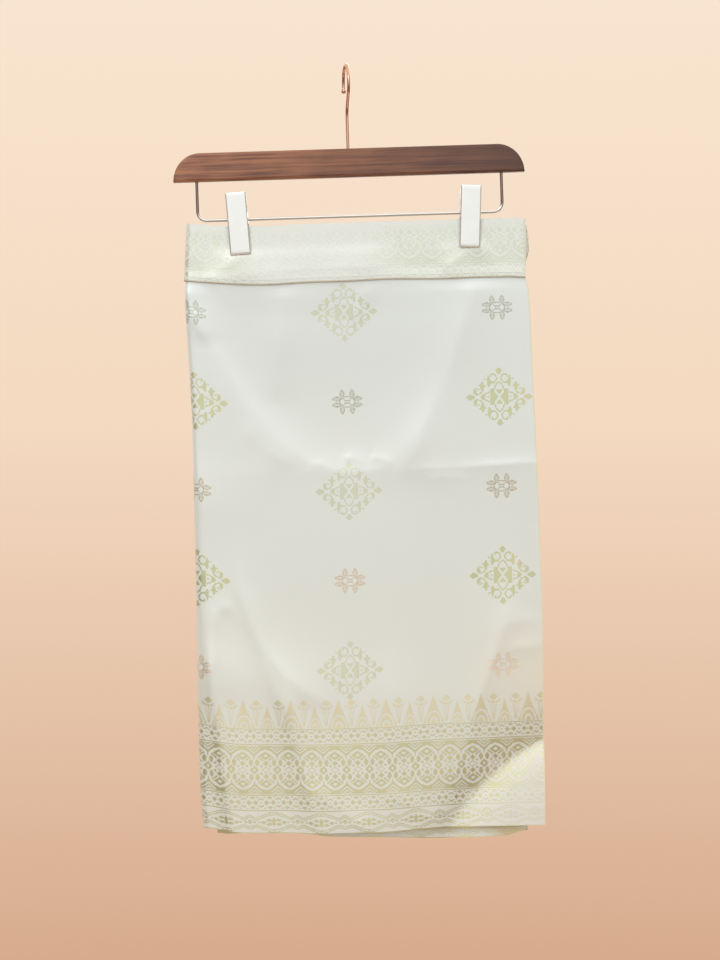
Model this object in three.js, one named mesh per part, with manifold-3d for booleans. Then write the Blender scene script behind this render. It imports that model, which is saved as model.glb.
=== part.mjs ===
// A ready-made songket samping, the short wrap cloth worn over trousers, hung by its waistband from a
// wooden clip hanger. The cloth is one long rectangle with a stitched-on waistband. It is folded in half
// and in half again, so four layers hang from the clips: the first free end lies in front, its sheet turns
// round the outer fold on the left to the back layer, that turns round the back fold on the right, and the
// third layer turns round the inner fold on the left into the second, whose free end lies behind the first.
// Millimetres, +Z up, +X to the viewer's right, -Y towards the viewer.
// The origin is where the hook bears on a rod: the inside of the hook's top.
import * as THREE from "three";
import { mergeVertices } from "three/addons/utils/BufferGeometryUtils.js";
import Module from "manifold-3d";

const wasm = await Module();
wasm.setup();

// ---- driving dimensions ----
const TILT = THREE.MathUtils.degToRad(1.8); // the hanger hangs with its right end higher
const CLEAR = 0.3; // gap between pieces that touch

// The hook's wire leaves the bar straight up, sweeps forward and goes round over the rod to a ball behind it.
const HOOK = { wire: 3.4, bend: 19, shankTop: -52, yaw: 8, ball: 5.2, sunk: 14, sides: 10 };
const HOOK_LOOP = { tip: -13, end: 214, steps: 30 }; // degrees round the bend, from the back by the top
const HOOK_SWEEP = { rise: 11, forward: 7.5, drop: 19.5, steps: 8 }; // from the shank into the bend
const BAR = { length: 351, height: 28.3, depth: 12, top: -82.3, shoulder: 27, shoulderSteps: 9, edge: 2.4 };
const RAIL = { wire: 3.2, span: 304.6, drop: 38.9, corner: 9, cornerSteps: 6, sunk: 9, sides: 10 };
const SOCKET = { sides: 12, overrun: 4 }; // the holes in the bar that hold the wires
const CLIP = { width: 20.4, above: 26.5, below: 35.5, plate: 1.2, splay: 2.1, lean: 3.2 };
const CLIP_AT = { left: -112.3, right: 120.1 };
const PAD = { wall: 1.5, height: 11, inset: 1 };
// A plate's ears, about the rail. Their holes leave room for the clip to lean.
const EAR = { wall: 1, foot: 5.6, head: 8, round: 4.6, hole: 2.6, steps: 8 };
const SPRING = { turns: 8, wire: 1.2, clear: 2.2, dip: 0.35, steps: 16 };

const CLOTH = 1; // wall of the cloth
const BAND = { wall: 1, height: 58, steps: 5, ease: 34 }; // the waistband, and the fall that sets in below it
const TOP = -156.7; // level of the waistband's top edge
const LENGTH = 606.5; // from the waistband's top edge to the hem
const CORNER_LIFT = { height: 4.6, from: -100, to: -164 }; // the left corner stands up beyond its clip
const LAYER_STEPS = { front: 21, back: 15, third: 18, second: 18 };
const FOLD_STEPS = 7;
const HANG_STEPS = 22; // rows of the cloth below the waistband
const FOLD_REACH = 42; // how far from a fold the layers part to make room for its bend

const BAR_BOTTOM = BAR.top - BAR.height;
const RAIL_LEVEL = BAR_BOTTOM - RAIL.drop;

// ---- tables of the cloth ----
// One row for each level. drop is the distance below the waistband's top edge. freeEdge, outerFold, backFold,
// innerFold and innerEdge are where the sheet's ends and folds lie along X. front, second, third and back are
// the layers' depths along Y. outerBend, backBend and innerBend are the folds' radii.
const LEVELS = [
  { drop: 0, freeEdge: 174.6, outerFold: -162.4, backFold: 175, innerFold: -157, innerEdge: 165,
    front: -4.1, second: -2.5, third: 2.5, back: 4.1, outerBend: 4.1, backBend: 0.85, innerBend: 2.5 },
  { drop: 22, freeEdge: 174.3, outerFold: -164, backFold: 176.7, innerFold: -158, innerEdge: 165,
    front: -4.1, second: -2.5, third: 2.5, back: 4.1, outerBend: 4.1, backBend: 0.85, innerBend: 2.5 },
  { drop: 42, freeEdge: 173.8, outerFold: -165.4, backFold: 171.5, innerFold: -158.6, innerEdge: 165,
    front: -4.1, second: -2.5, third: 2.5, back: 4.1, outerBend: 4.1, backBend: 0.85, innerBend: 2.5 },
  { drop: 58, freeEdge: 172.8, outerFold: -166.2, backFold: 169.5, innerFold: -158.6, innerEdge: 165,
    front: -4.1, second: -2.5, third: 2.5, back: 4.1, outerBend: 4.1, backBend: 0.85, innerBend: 2.5 },
  { drop: 68, freeEdge: 175.6, outerFold: -167.2, backFold: 169.8, innerFold: -158, innerEdge: 166,
    front: -4.1, second: -2.3, third: 2.4, back: 4.2, outerBend: 4.2, backBend: 1, innerBend: 2.4 },
  { drop: 88, freeEdge: 176.6, outerFold: -167.2, backFold: 170.6, innerFold: -157.4, innerEdge: 167,
    front: -4.1, second: -2.1, third: 2.1, back: 4.2, outerBend: 4.3, backBend: 1.2, innerBend: 2.3 },
  { drop: 145, freeEdge: 177.2, outerFold: -165.5, backFold: 171.2, innerFold: -156.6, innerEdge: 168,
    front: -4.1, second: -2.1, third: 2.1, back: 4.2, outerBend: 4.6, backBend: 1.5, innerBend: 2.2 },
  { drop: 205, freeEdge: 178.3, outerFold: -164.2, backFold: 170.2, innerFold: -156, innerEdge: 169,
    front: -4.3, second: -2.1, third: 2.1, back: 4.4, outerBend: 4.9, backBend: 1.8, innerBend: 2.2 },
  { drop: 285, freeEdge: 179.2, outerFold: -164.9, backFold: 168.1, innerFold: -155.2, innerEdge: 169,
    front: -4.5, second: -2.1, third: 2.1, back: 4.6, outerBend: 5.2, backBend: 2.1, innerBend: 2.3 },
  { drop: 365, freeEdge: 179.3, outerFold: -165.4, backFold: 165.5, innerFold: -154.4, innerEdge: 169,
    front: -4.8, second: -2.1, third: 2.1, back: 4.9, outerBend: 5.6, backBend: 2.4, innerBend: 2.4 },
  { drop: 485, freeEdge: 178, outerFold: -167.3, backFold: 162.1, innerFold: -153.2, innerEdge: 168,
    front: -5.1, second: -2.1, third: 2.1, back: 5.2, outerBend: 6, backBend: 2.7, innerBend: 2.5 },
  { drop: 565, freeEdge: 176.8, outerFold: -167.5, backFold: 160, innerFold: -152.2, innerEdge: 167,
    front: -5.3, second: -2.2, third: 2.2, back: 5.4, outerBend: 6.3, backBend: 2.9, innerBend: 2.6 },
  { drop: 606.5, freeEdge: 175.5, outerFold: -165.6, backFold: 158.7, innerFold: -151.5, innerEdge: 166,
    front: -5.5, second: -2.2, third: 2.2, back: 5.6, outerBend: 6.5, backBend: 3, innerBend: 2.7 },
];

// One row for each place along the sheet. along counts the stretches: 0 to 1 is the front layer from its free
// edge to the outer fold, 1 to 2 the back layer, 2 to 3 the third, 3 to 4 the second. top and hem are how far
// the top edge and the hem lie below their straight lines there.
const EDGES = [
  { along: 0, top: 1.6, hem: 0 },
  { along: 0.05, top: 0.2, hem: 0 },
  { along: 0.3, top: 0, hem: -0.2 },
  { along: 0.5, top: -0.3, hem: 2 },
  { along: 0.64, top: -0.2, hem: 1.8 },
  { along: 0.78, top: 0.6, hem: -0.6 },
  { along: 0.9, top: 0.2, hem: -1.6 },
  { along: 1, top: 0, hem: -3.6 },
  { along: 1.2, top: 1, hem: -2.5 },
  { along: 1.5, top: 3, hem: 0 },
  { along: 1.85, top: 6, hem: 1.5 },
  { along: 2, top: 7, hem: 5.5 },
  { along: 2.08, top: 7.5, hem: 11.2 },
  { along: 2.25, top: 7.5, hem: 11.4 },
  { along: 2.45, top: 6, hem: 8.2 },
  { along: 2.63, top: 5, hem: 5.6 },
  { along: 2.76, top: 5, hem: -0.4 },
  { along: 2.9, top: 6, hem: -2.4 },
  { along: 3, top: 7, hem: 0.6 },
  { along: 3.15, top: 6, hem: -4 },
  { along: 3.5, top: 5, hem: -5 },
  { along: 4, top: 6, hem: -4 },
];

// Ridges (+) and troughs (-) that the hung cloth falls into, each along a line from end to end.
// bow is how far the middle of the line stands off its chord, left and right how wide the ridge is on either
// side of the line for one who follows it down, high its height and crisp the radius of its crest.
const RIDGES = [
  { fromX: -124, fromDrop: 340, toX: -40, toDrop: 476, bow: -22, left: 20, right: 16, high: 1.9, crisp: 3 },
  { fromX: -156, fromDrop: 420, toX: -130, toDrop: 650, bow: 0, left: 15, right: 60, high: 8, crisp: 2 },
  { fromX: -84, fromDrop: 440, toX: -42, toDrop: 640, bow: 0, left: 16, right: 30, high: 5, crisp: 4 },
  { fromX: 26, fromDrop: 440, toX: 8, toDrop: 640, bow: 0, left: 18, right: 30, high: 2.8, crisp: 6 },
  { fromX: 150, fromDrop: 372, toX: 62, toDrop: 640, bow: -2, left: 24, right: 30, high: 2.4, crisp: 2 },
  { fromX: 224, fromDrop: 494, toX: 44, toDrop: 660, bow: -34, left: 40, right: 32, high: -2.4, crisp: 12 },
  { fromX: 224, fromDrop: 494, toX: 44, toDrop: 660, bow: -34, left: 24, right: 28, high: -5, crisp: 12 },
];
// A ridge keeps its full height this far from the middle of its line, in lengths of it, then fades.
const RIDGE_ENDS = { full: 0.3, fade: 0.2 };

// The broad hollow that hangs between the clips, down to the storage crease. Each edge is a line. side is +1
// where the hollow lies to the right of one who follows the line down, reach how far in from the edge the
// slope runs, and soft how rounded the edge is.
const HOLLOW = { deep: 5.6 };
const HOLLOW_EDGES = [
  { fromX: -170, fromDrop: 70, toX: -44, toDrop: 246, bow: -17, side: 1, reach: 16, soft: 6 },
  { fromX: 116, fromDrop: 60, toX: 38, toDrop: 246, bow: 12, side: -1, reach: 15, soft: 7 },
  { fromX: -160, fromDrop: 248, toX: 180, toDrop: 245, bow: 0, side: 1, reach: 17, soft: 2 },
  { fromX: -160, fromDrop: 96, toX: 180, toDrop: 96, bow: 0, side: -1, reach: 80, soft: 36 },
];
// How much of them each layer takes: the two in front all of it, the two behind a little less.
const FALL_SHARE = { front: 1, second: 1, third: 0.9, back: 0.9 };

// ---- materials ----
const material = (color, roughness, metalness) =>
  new THREE.MeshStandardMaterial({ color, roughness, metalness });
const SONGKET = material(0xdfe2d8, 0.45, 0);
const SONGKET_BAND = material(0xe2e4d4, 0.45, 0);
const WALNUT = material(0x7d5240, 0.4, 0);
const PLATED = material(0xe6e4e1, 0.15, 1);
const COPPER = material(0xc9a08e, 0.18, 1);
const GREY_RUBBER = material(0xd9d9d4, 0.8, 0);

// ---- small helpers ----
const smooth = (t) => {
  const c = THREE.MathUtils.clamp(t, 0, 1);
  return c * c * (3 - 2 * c);
};

// The value of a table's column at a key, on a smooth curve through its rows.
function lookUp(table, key, at, column) {
  const last = table.length - 1;
  let i = table.findIndex((row) => row[key] > at) - 1;
  if (i < 0) i = at <= table[0][key] ? 0 : last - 1;
  const [a, b] = [table[i], table[i + 1]];
  const [before, after] = [table[Math.max(i - 1, 0)], table[Math.min(i + 2, last)]];
  const span = b[key] - a[key];
  const t = THREE.MathUtils.clamp((at - a[key]) / span, 0, 1);
  // A slope is kept flat where the column turns, so that the curve never overshoots its rows.
  const slope = (p, q, r) => {
    const left = (q[column] - p[column]) / (q[key] - p[key] || 1);
    const right = (r[column] - q[column]) / (r[key] - q[key] || 1);
    return left * right > 0 ? (2 * left * right) / (left + right) : 0;
  };
  const startSlope = i > 0 ? slope(before, a, b) : (b[column] - a[column]) / span;
  const endSlope = i + 1 < last ? slope(a, b, after) : (b[column] - a[column]) / span;
  const [t2, t3] = [t * t, t * t * t];
  return (
    (2 * t3 - 3 * t2 + 1) * a[column] +
    (t3 - 2 * t2 + t) * span * startSlope +
    (3 * t2 - 2 * t3) * b[column] +
    (t3 - t2) * span * endSlope
  );
}

// Rings of points joined each to the next. The second half of a ring is cut along the other diagonals, so
// that the two faces of a wall, which run opposite ways, are cut alike.
function closedFromRings(rings) {
  const sides = rings[0].length;
  const index = [];
  for (let i = 0; i + 1 < rings.length; i++)
    for (let j = 0; j < sides; j++) {
      const [a, b] = [i * sides + j, i * sides + ((j + 1) % sides)];
      const [c, d] = [b + sides, a + sides];
      if (j < sides / 2) index.push(a, d, b, b, d, c);
      else index.push(a, d, c, a, c, b);
    }
  return { points: rings.flat(), index };
}

function geometryOf(points, index) {
  const geometry = new THREE.BufferGeometry();
  geometry.setAttribute("position", new THREE.Float32BufferAttribute(points.flatMap((p) => p.toArray()), 3));
  geometry.setIndex(index);
  geometry.computeVertexNormals();
  return geometry;
}

// A round wire along a line of points, closed at both ends.
function wireAlong(points, radius, sides) {
  const count = points.length;
  const tangents = points.map((_, i) =>
    points[Math.min(i + 1, count - 1)].clone().sub(points[Math.max(i - 1, 0)]).normalize(),
  );
  let side = new THREE.Vector3(0, 1, 0);
  if (Math.abs(side.dot(tangents[0])) > 0.9) side = new THREE.Vector3(1, 0, 0);
  const rings = points.map((point, i) => {
    side.sub(tangents[i].clone().multiplyScalar(side.dot(tangents[i]))).normalize();
    const up = tangents[i].clone().cross(side);
    return Array.from({ length: sides }, (_, k) => {
      const angle = (2 * Math.PI * k) / sides;
      const [across, along] = [radius * Math.cos(angle), radius * Math.sin(angle)];
      return point.clone().addScaledVector(side, across).addScaledVector(up, along);
    });
  });
  const { points: all, index } = closedFromRings(rings);
  for (let k = 1; k + 1 < sides; k++) {
    index.push(0, k, k + 1);
    const end = (count - 1) * sides;
    index.push(end, end + k + 1, end + k);
  }
  return outward(geometryOf(all, index));
}

function arc(centre, radius, from, to, steps, place) {
  return Array.from({ length: steps + 1 }, (_, i) => {
    const angle = THREE.MathUtils.degToRad(from + ((to - from) * i) / steps);
    return place(centre[0] + radius * Math.cos(angle), centre[1] + radius * Math.sin(angle));
  });
}

// ---- joining and cutting ----
const MERGE = 1e-4; // points closer than this are one

// The same geometry with one vertex at each point.
function merged(geometry) {
  const extra = Object.keys(geometry.attributes).filter((name) => name !== "position");
  for (const name of extra) geometry.deleteAttribute(name);
  return mergeVertices(geometry, MERGE);
}

function solidOf(geometry) {
  const { attributes, index } = merged(geometry);
  return new wasm.Manifold(
    new wasm.Mesh({
      numProp: 3,
      vertProperties: attributes.position.array,
      triVerts: new Uint32Array(index.array),
    }),
  );
}

function geometryFrom(solid) {
  const { vertProperties, triVerts, numProp } = solid.getMesh();
  const geometry = new THREE.BufferGeometry();
  const positions = new Float32Array((vertProperties.length / numProp) * 3);
  for (let i = 0; i < positions.length / 3; i++)
    for (let k = 0; k < 3; k++) positions[3 * i + k] = vertProperties[numProp * i + k];
  geometry.setAttribute("position", new THREE.BufferAttribute(positions, 3));
  geometry.setIndex(new THREE.BufferAttribute(new Uint32Array(triVerts), 1));
  geometry.computeVertexNormals();
  return geometry;
}

// Turns a closed mesh round if its faces point in.
function outward(geometry) {
  const p = geometry.getAttribute("position");
  const corner = [new THREE.Vector3(), new THREE.Vector3(), new THREE.Vector3()];
  let volume = 0;
  for (let i = 0; i < geometry.index.count; i += 3) {
    corner.forEach((c, k) => c.fromBufferAttribute(p, geometry.index.getX(i + k)));
    volume += corner[0].dot(corner[1].clone().cross(corner[2]));
  }
  if (volume > 0) return geometry;
  const index = geometry.index.array;
  for (let i = 0; i < index.length; i += 3) [index[i + 1], index[i + 2]] = [index[i + 2], index[i + 1]];
  return geometry;
}

const cut = (body, ...tools) =>
  geometryFrom(tools.reduce((left, tool) => left.subtract(solidOf(tool)), solidOf(body)));
const join = (...geometries) =>
  geometryFrom(geometries.slice(1).reduce((whole, next) => whole.add(solidOf(next)), solidOf(geometries[0])));

function mesh(name, geometry, look) {
  const made = new THREE.Mesh(geometry, look);
  made.name = name;
  return made;
}

// ---- the folded sheet ----
// How far a place lies along a table row's bowed line, from 0 to 1, and how far beside it.
function alongLine(x, drop, row) {
  const [dx, dd] = [row.toX - row.fromX, row.toDrop - row.fromDrop];
  const length = Math.hypot(dx, dd);
  const t = ((x - row.fromX) * dx + (drop - row.fromDrop) * dd) / (length * length);
  const offChord = ((x - row.fromX) * dd - (drop - row.fromDrop) * dx) / length;
  return { t, away: offChord - 4 * row.bow * t * (1 - t) };
}

// How far the hanging cloth stands forward at a place, in its ridges and its hollow.
function fallHeight(x, drop) {
  let height = 0;
  for (const row of RIDGES) {
    const { t, away } = alongLine(x, drop, row);
    const past = Math.max(Math.abs(t - 0.5) - RIDGE_ENDS.full, 0);
    const ends = Math.exp(-Math.pow(past / RIDGE_ENDS.fade, 2));
    const beside = away < 0 ? row.left : row.right;
    height += row.high * ends * Math.exp(-(Math.hypot(away, row.crisp) - row.crisp) / beside);
  }
  let depth = HOLLOW.deep;
  for (const row of HOLLOW_EDGES) {
    const inside = row.side * alongLine(x, drop, row).away;
    depth *= 1 - Math.exp(-(inside + Math.hypot(inside, row.soft)) / (2 * row.reach));
  }
  return height - depth;
}

// The sheet's line in plan at one level, a list of { x, y, share, along } from the front free edge to the
// inner one.
function foldedLine(drop) {
  const at = (column) => lookUp(LEVELS, "drop", drop, column);
  const depth = { front: at("front"), second: at("second"), third: at("third"), back: at("back") };
  const fold = (tip, toRight, nearLayer, farLayer, bend) => ({
    tip, toRight, bend, middle: (depth[nearLayer] + depth[farLayer]) / 2,
    centre: toRight ? tip - bend : tip + bend,
  });
  const outer = fold(at("outerFold"), false, "front", "back", at("outerBend"));
  const back = fold(at("backFold"), true, "third", "back", at("backBend"));
  const inner = fold(at("innerFold"), false, "second", "third", at("innerBend"));
  const line = [];
  // One layer, from x to x, opening towards the fold at either end.
  const layer = (name, fromX, toX, from, startFold, endFold, skipFirst) => {
    const steps = LAYER_STEPS[name];
    for (let i = skipFirst ? 1 : 0; i <= steps; i++) {
      const x = THREE.MathUtils.lerp(fromX, toX, i / steps);
      let y = depth[name];
      for (const f of [startFold, endFold]) {
        if (!f) continue;
        const side = depth[name] > f.middle ? 1 : -1;
        const near = 1 - smooth(Math.abs(x - f.centre) / FOLD_REACH);
        y += (f.middle + side * f.bend - depth[name]) * near;
      }
      line.push({ x, y, share: FALL_SHARE[name], along: from + i / steps });
    }
  };
  // The bend itself, from the layer that comes in to the one that goes on.
  const turn = (f, startSide, from, shareIn, shareOut) => {
    for (let i = 1; i <= FOLD_STEPS; i++) {
      const angle = (Math.PI * i) / FOLD_STEPS;
      const outwards = f.toRight ? 1 : -1;
      line.push({
        x: f.centre + outwards * f.bend * Math.sin(angle),
        y: f.middle + startSide * f.bend * Math.cos(angle),
        share: THREE.MathUtils.lerp(shareIn, shareOut, i / FOLD_STEPS),
        along: from,
      });
    }
  };
  const share = FALL_SHARE;
  layer("front", at("freeEdge"), outer.centre, 0, null, outer, false);
  turn(outer, -1, 1, share.front, share.back);
  layer("back", outer.centre, back.centre, 1, outer, back, true);
  turn(back, 1, 2, share.back, share.third);
  layer("third", back.centre, inner.centre, 2, back, inner, true);
  turn(inner, 1, 3, share.third, share.second);
  layer("second", inner.centre, at("innerEdge"), 3, inner, null, true);
  return line;
}

// The sheet's points at one level, with the plan direction that its right side faces.
function sheetRow(drop) {
  const line = foldedLine(drop);
  const free = smooth((drop - BAND.height) / BAND.ease);
  const placed = line.map(({ x, y, share, along }) => {
    const topSag = lookUp(EDGES, "along", along, "top");
    const hemSag = lookUp(EDGES, "along", along, "hem");
    const corner = Math.max((CORNER_LIFT.from - x) / (CORNER_LIFT.from - CORNER_LIFT.to), 0);
    const lift = CORNER_LIFT.height * corner * corner;
    const z = TOP + lift - drop - THREE.MathUtils.lerp(topSag, hemSag, drop / LENGTH);
    return new THREE.Vector3(x, y - share * free * fallHeight(x, drop), z);
  });
  return placed.map((point, i) => {
    const before = placed[Math.max(i - 1, 0)];
    const after = placed[Math.min(i + 1, placed.length - 1)];
    const rightSide = new THREE.Vector3(before.y - after.y, after.x - before.x, 0).normalize();
    return { point, rightSide };
  });
}

// A point of the sheet moved out to its right side (+) or wrong side (-), and down.
const moved = ({ point, rightSide }, out, down = 0) =>
  point.clone().addScaledVector(rightSide, out).setZ(point.z - down);

// Evenly spaced values from one to another.
const spread = (from, to, steps) =>
  Array.from({ length: steps + 1 }, (_, i) => THREE.MathUtils.lerp(from, to, i / steps));

// The body: both faces of the wall, joined round all four edges. It starts just under the waistband's fold.
function bodyCloth() {
  const drops = [
    BAND.wall + CLEAR,
    ...spread(0, BAND.height, BAND.steps).slice(1, -1),
    ...spread(BAND.height, LENGTH, HANG_STEPS),
  ];
  const rows = drops.map(sheetRow);
  const rings = rows.map((row) => [
    ...row.map((place) => moved(place, CLOTH / 2)),
    ...row.map((place) => moved(place, -CLOTH / 2)).reverse(),
  ]);
  return closeStrips(rings, rows[0].length);
}

// Closes rings that are two matching strips of points back to back, with quads across each end ring.
function closeStrips(rings, across) {
  const { points, index } = closedFromRings(rings);
  const sides = 2 * across;
  const last = (rings.length - 1) * sides;
  for (let j = 0; j + 1 < across; j++) {
    const [a, b, c, d] = [j, j + 1, sides - 2 - j, sides - 1 - j];
    index.push(a, b, c, a, c, d);
    index.push(last + a, last + c, last + b, last + a, last + d, last + c);
  }
  return outward(geometryOf(points, index));
}

// The waistband: an outer ply on the sheet's right side whose top edge turns over the cloth's edge.
function waistband() {
  const inside = CLOTH / 2 + CLEAR;
  const outside = inside + BAND.wall;
  const rows = spread(0, BAND.height, BAND.steps).map(sheetRow);
  const across = rows[0].length;
  const rings = [];
  for (let j = 0; j < across; j++) {
    const ring = [...rows].reverse().map((row) => moved(row[j], outside));
    ring.push(moved(rows[0][j], -CLOTH / 2), moved(rows[0][j], -CLOTH / 2, BAND.wall));
    ring.push(moved(rows[0][j], inside, BAND.wall));
    for (const row of rows.slice(1)) ring.push(moved(row[j], inside));
    rings.push(ring);
  }
  const { points, index } = closedFromRings(rings);
  // Each end is the ply's strip of quads, with the turned-over edge at its top.
  const sides = rings[0].length;
  const last = (across - 1) * sides;
  const plies = rows.length;
  const ends = [];
  for (let k = 0; k + 1 < plies; k++) ends.push([k, k + 1, sides - 2 - k, sides - 1 - k]);
  const [topOuter, turned, underTurned, inner] = [plies - 1, plies, plies + 1, plies + 2];
  ends.push([topOuter, turned, underTurned, inner]);
  for (const [a, b, c, d] of ends) {
    index.push(a, b, c, a, c, d);
    index.push(last + a, last + c, last + b, last + a, last + d, last + c);
  }
  return outward(geometryOf(points, index));
}

// ---- the hanger ----
function hook() {
  const radius = HOOK.wire / 2;
  const centre = radius - HOOK.bend;
  const place = (y, z) => new THREE.Vector3(0, y, z);
  const loop = arc([0, centre], HOOK.bend, HOOK_LOOP.end, HOOK_LOOP.tip, HOOK_LOOP.steps, place);
  const shank = [place(0, BAR.top - HOOK.sunk), place(0, HOOK.shankTop)];
  const sweep = new THREE.CubicBezierCurve3(
    shank[1],
    place(0, HOOK.shankTop + HOOK_SWEEP.rise),
    place(-HOOK_SWEEP.forward, centre - HOOK_SWEEP.drop),
    loop[0],
  ).getPoints(HOOK_SWEEP.steps).slice(1, -1);
  const line = [...shank, ...sweep, ...loop];
  const tip = line[line.length - 1];
  const ball = new THREE.SphereGeometry(HOOK.ball / 2, HOOK.sides, HOOK.sides).translate(...tip.toArray());
  return join(wireAlong(line, radius, HOOK.sides), ball).rotateZ(THREE.MathUtils.degToRad(HOOK.yaw));
}

function bar() {
  const [half, top, bottom] = [BAR.length / 2, BAR.top, BAR_BOTTOM];
  const shoulder = (side) =>
    Array.from({ length: BAR.shoulderSteps + 1 }, (_, i) => {
      const angle = (Math.PI * i) / (2 * BAR.shoulderSteps);
      return new THREE.Vector2(
        side * (half - BAR.shoulder + BAR.shoulder * Math.cos(angle)),
        bottom + BAR.height * Math.sin(angle),
      );
    });
  const outline = new THREE.Shape([...shoulder(1), ...shoulder(-1).reverse()]);
  const board = new THREE.ExtrudeGeometry(outline, {
    depth: BAR.depth - 2 * BAR.edge,
    bevelThickness: BAR.edge,
    bevelSize: BAR.edge,
    bevelOffset: -BAR.edge,
    bevelSegments: 3,
  });
  board.rotateX(Math.PI / 2).translate(0, BAR.depth / 2 - BAR.edge, 0);
  // A round hole up or down into the bar from its face at the given level.
  const socket = (wire, deep, x, level, upwards) => {
    const radius = wire / 2 + CLEAR;
    const inwards = ((upwards ? 1 : -1) * (deep + CLEAR - SOCKET.overrun)) / 2;
    return new THREE.CylinderGeometry(radius, radius, deep + CLEAR + SOCKET.overrun, SOCKET.sides)
      .rotateX(Math.PI / 2)
      .translate(x, 0, level + inwards);
  };
  return cut(
    board,
    socket(HOOK.wire, HOOK.sunk, 0, top, false),
    socket(RAIL.wire, RAIL.sunk, -RAIL.span / 2, bottom, true),
    socket(RAIL.wire, RAIL.sunk, RAIL.span / 2, bottom, true),
  );
}

function clipRail() {
  const half = RAIL.span / 2;
  const place = (x, z) => new THREE.Vector3(x, 0, z);
  const bend = RAIL.corner;
  const line = [
    place(-half, BAR_BOTTOM + RAIL.sunk),
    ...arc([-half + bend, RAIL_LEVEL + bend], bend, 180, 270, RAIL.cornerSteps, place),
    ...arc([half - bend, RAIL_LEVEL + bend], bend, 270, 360, RAIL.cornerSteps, place),
    place(half, BAR_BOTTOM + RAIL.sunk),
  ];
  return wireAlong(line, RAIL.wire / 2, RAIL.sides);
}

// ---- one clip, about the rail's axis, in its own frame ----
const STACK = LEVELS[0].back + CLOTH / 2 + CLEAR + BAND.wall; // half the folded waistband's thickness
const GRIP = STACK + CLEAR + PAD.wall + CLEAR; // from the middle to a plate's inner face at its lower end

// A plate leans out from its grip to its finger end. Its ears reach in over the barrel on the rail.
function clipPlate(front) {
  const slope = CLIP.splay / (CLIP.above + CLIP.below);
  const innerFace = (z) => GRIP + (z + CLIP.below) * slope;
  const section = new THREE.Shape();
  section.moveTo(innerFace(-CLIP.below), -CLIP.below);
  section.lineTo(innerFace(-CLIP.below) + CLIP.plate, -CLIP.below);
  section.lineTo(innerFace(CLIP.above) + CLIP.plate, CLIP.above);
  section.lineTo(innerFace(CLIP.above), CLIP.above);
  section.closePath();
  const plate = extrudeAlongX(section, -CLIP.width / 2, CLIP.width / 2);
  const outline = [
    new THREE.Vector2(innerFace(-EAR.foot) + CLIP.plate / 2, -EAR.foot),
    new THREE.Vector2(innerFace(EAR.head) + CLIP.plate / 2, EAR.head),
    ...arc([0, 0], EAR.round, 90, 270, EAR.steps, (y, z) => new THREE.Vector2(y, z)),
  ];
  const ear = new THREE.Shape(outline);
  ear.holes.push(new THREE.Path().absarc(0, 0, EAR.hole, 0, 2 * Math.PI, true));
  const outerX = CLIP.width / 2 - (front ? 0 : EAR.wall + CLEAR);
  const ears = [outerX - EAR.wall, -outerX].map((x) => extrudeAlongX(ear, x, x + EAR.wall));
  const made = join(plate, ...ears);
  return front ? made.rotateZ(Math.PI) : made;
}

// Extrudes a section drawn as (y, z) from one x to another.
function extrudeAlongX(section, fromX, toX) {
  const flat = new THREE.ExtrudeGeometry(section, {
    depth: toX - fromX,
    bevelEnabled: false,
    curveSegments: EAR.steps,
  });
  const turn = new THREE.Matrix4().makeBasis(
    new THREE.Vector3(0, 1, 0), new THREE.Vector3(0, 0, 1), new THREE.Vector3(1, 0, 0),
  );
  return flat.applyMatrix4(turn).translate(fromX, 0, 0);
}

// A ring about X with the given closed profile of (radius, x).
function ringAboutX(profile, steps) {
  const points = [...profile, profile[0]].map(([radius, x]) => new THREE.Vector2(radius, x));
  return new THREE.LatheGeometry(points, steps).rotateZ(-Math.PI / 2);
}

// The torsion spring's coil, its turns lying against each other.
function springCoil() {
  const half = (SPRING.turns * SPRING.wire) / 2;
  const crest = SPRING.clear + SPRING.wire;
  const profile = [[SPRING.clear, -half]];
  for (let k = 0; k < SPRING.turns; k++) {
    const start = -half + k * SPRING.wire;
    profile.push([crest - SPRING.dip, start], [crest, start + SPRING.wire / 2]);
  }
  profile.push([crest - SPRING.dip, half], [SPRING.clear, half]);
  return outward(merged(ringAboutX(profile, SPRING.steps)));
}

function jawPad(front) {
  const facing = front ? -1 : 1;
  const near = STACK + CLEAR;
  const pad = new THREE.BoxGeometry(CLIP.width - 2 * PAD.inset, PAD.wall, PAD.height);
  return pad.translate(0, facing * (near + PAD.wall / 2), PAD.inset + PAD.height / 2 - CLIP.below);
}

function clip(side) {
  const group = new THREE.Group();
  group.add(
    mesh(`clip_${side}_front_plate`, clipPlate(true), PLATED),
    mesh(`clip_${side}_back_plate`, clipPlate(false), PLATED),
    mesh(`clip_${side}_spring`, springCoil(), PLATED),
    mesh(`clip_${side}_front_pad`, jawPad(true), GREY_RUBBER),
    mesh(`clip_${side}_back_pad`, jawPad(false), GREY_RUBBER),
  );
  group.position.set(CLIP_AT[side], 0, RAIL_LEVEL);
  group.rotation.y = THREE.MathUtils.degToRad(side === "left" ? -CLIP.lean : CLIP.lean);
  return group;
}

const samping = new THREE.Group();
samping.add(
  mesh("body_cloth", bodyCloth(), SONGKET),
  mesh("waistband", waistband(), SONGKET_BAND),
  mesh("hanger_bar", bar(), WALNUT),
  mesh("hook", hook(), COPPER),
  mesh("clip_rail", clipRail(), PLATED),
  clip("left"),
  clip("right"),
);
samping.rotation.y = -TILT;

export default samping;
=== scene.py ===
"""Looks of a songket samping, folded in four and clipped by its waistband to a wooden hanger.

The cloth and the hanger are modelled in the hanger's own frame, in millimetres: u along the bar, y from front
to back, w up from the place where the hook bears. That frame is tilted a little in the world.
"""

import math

import bpy
import numpy as np
from mathutils import Matrix, Vector


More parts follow.
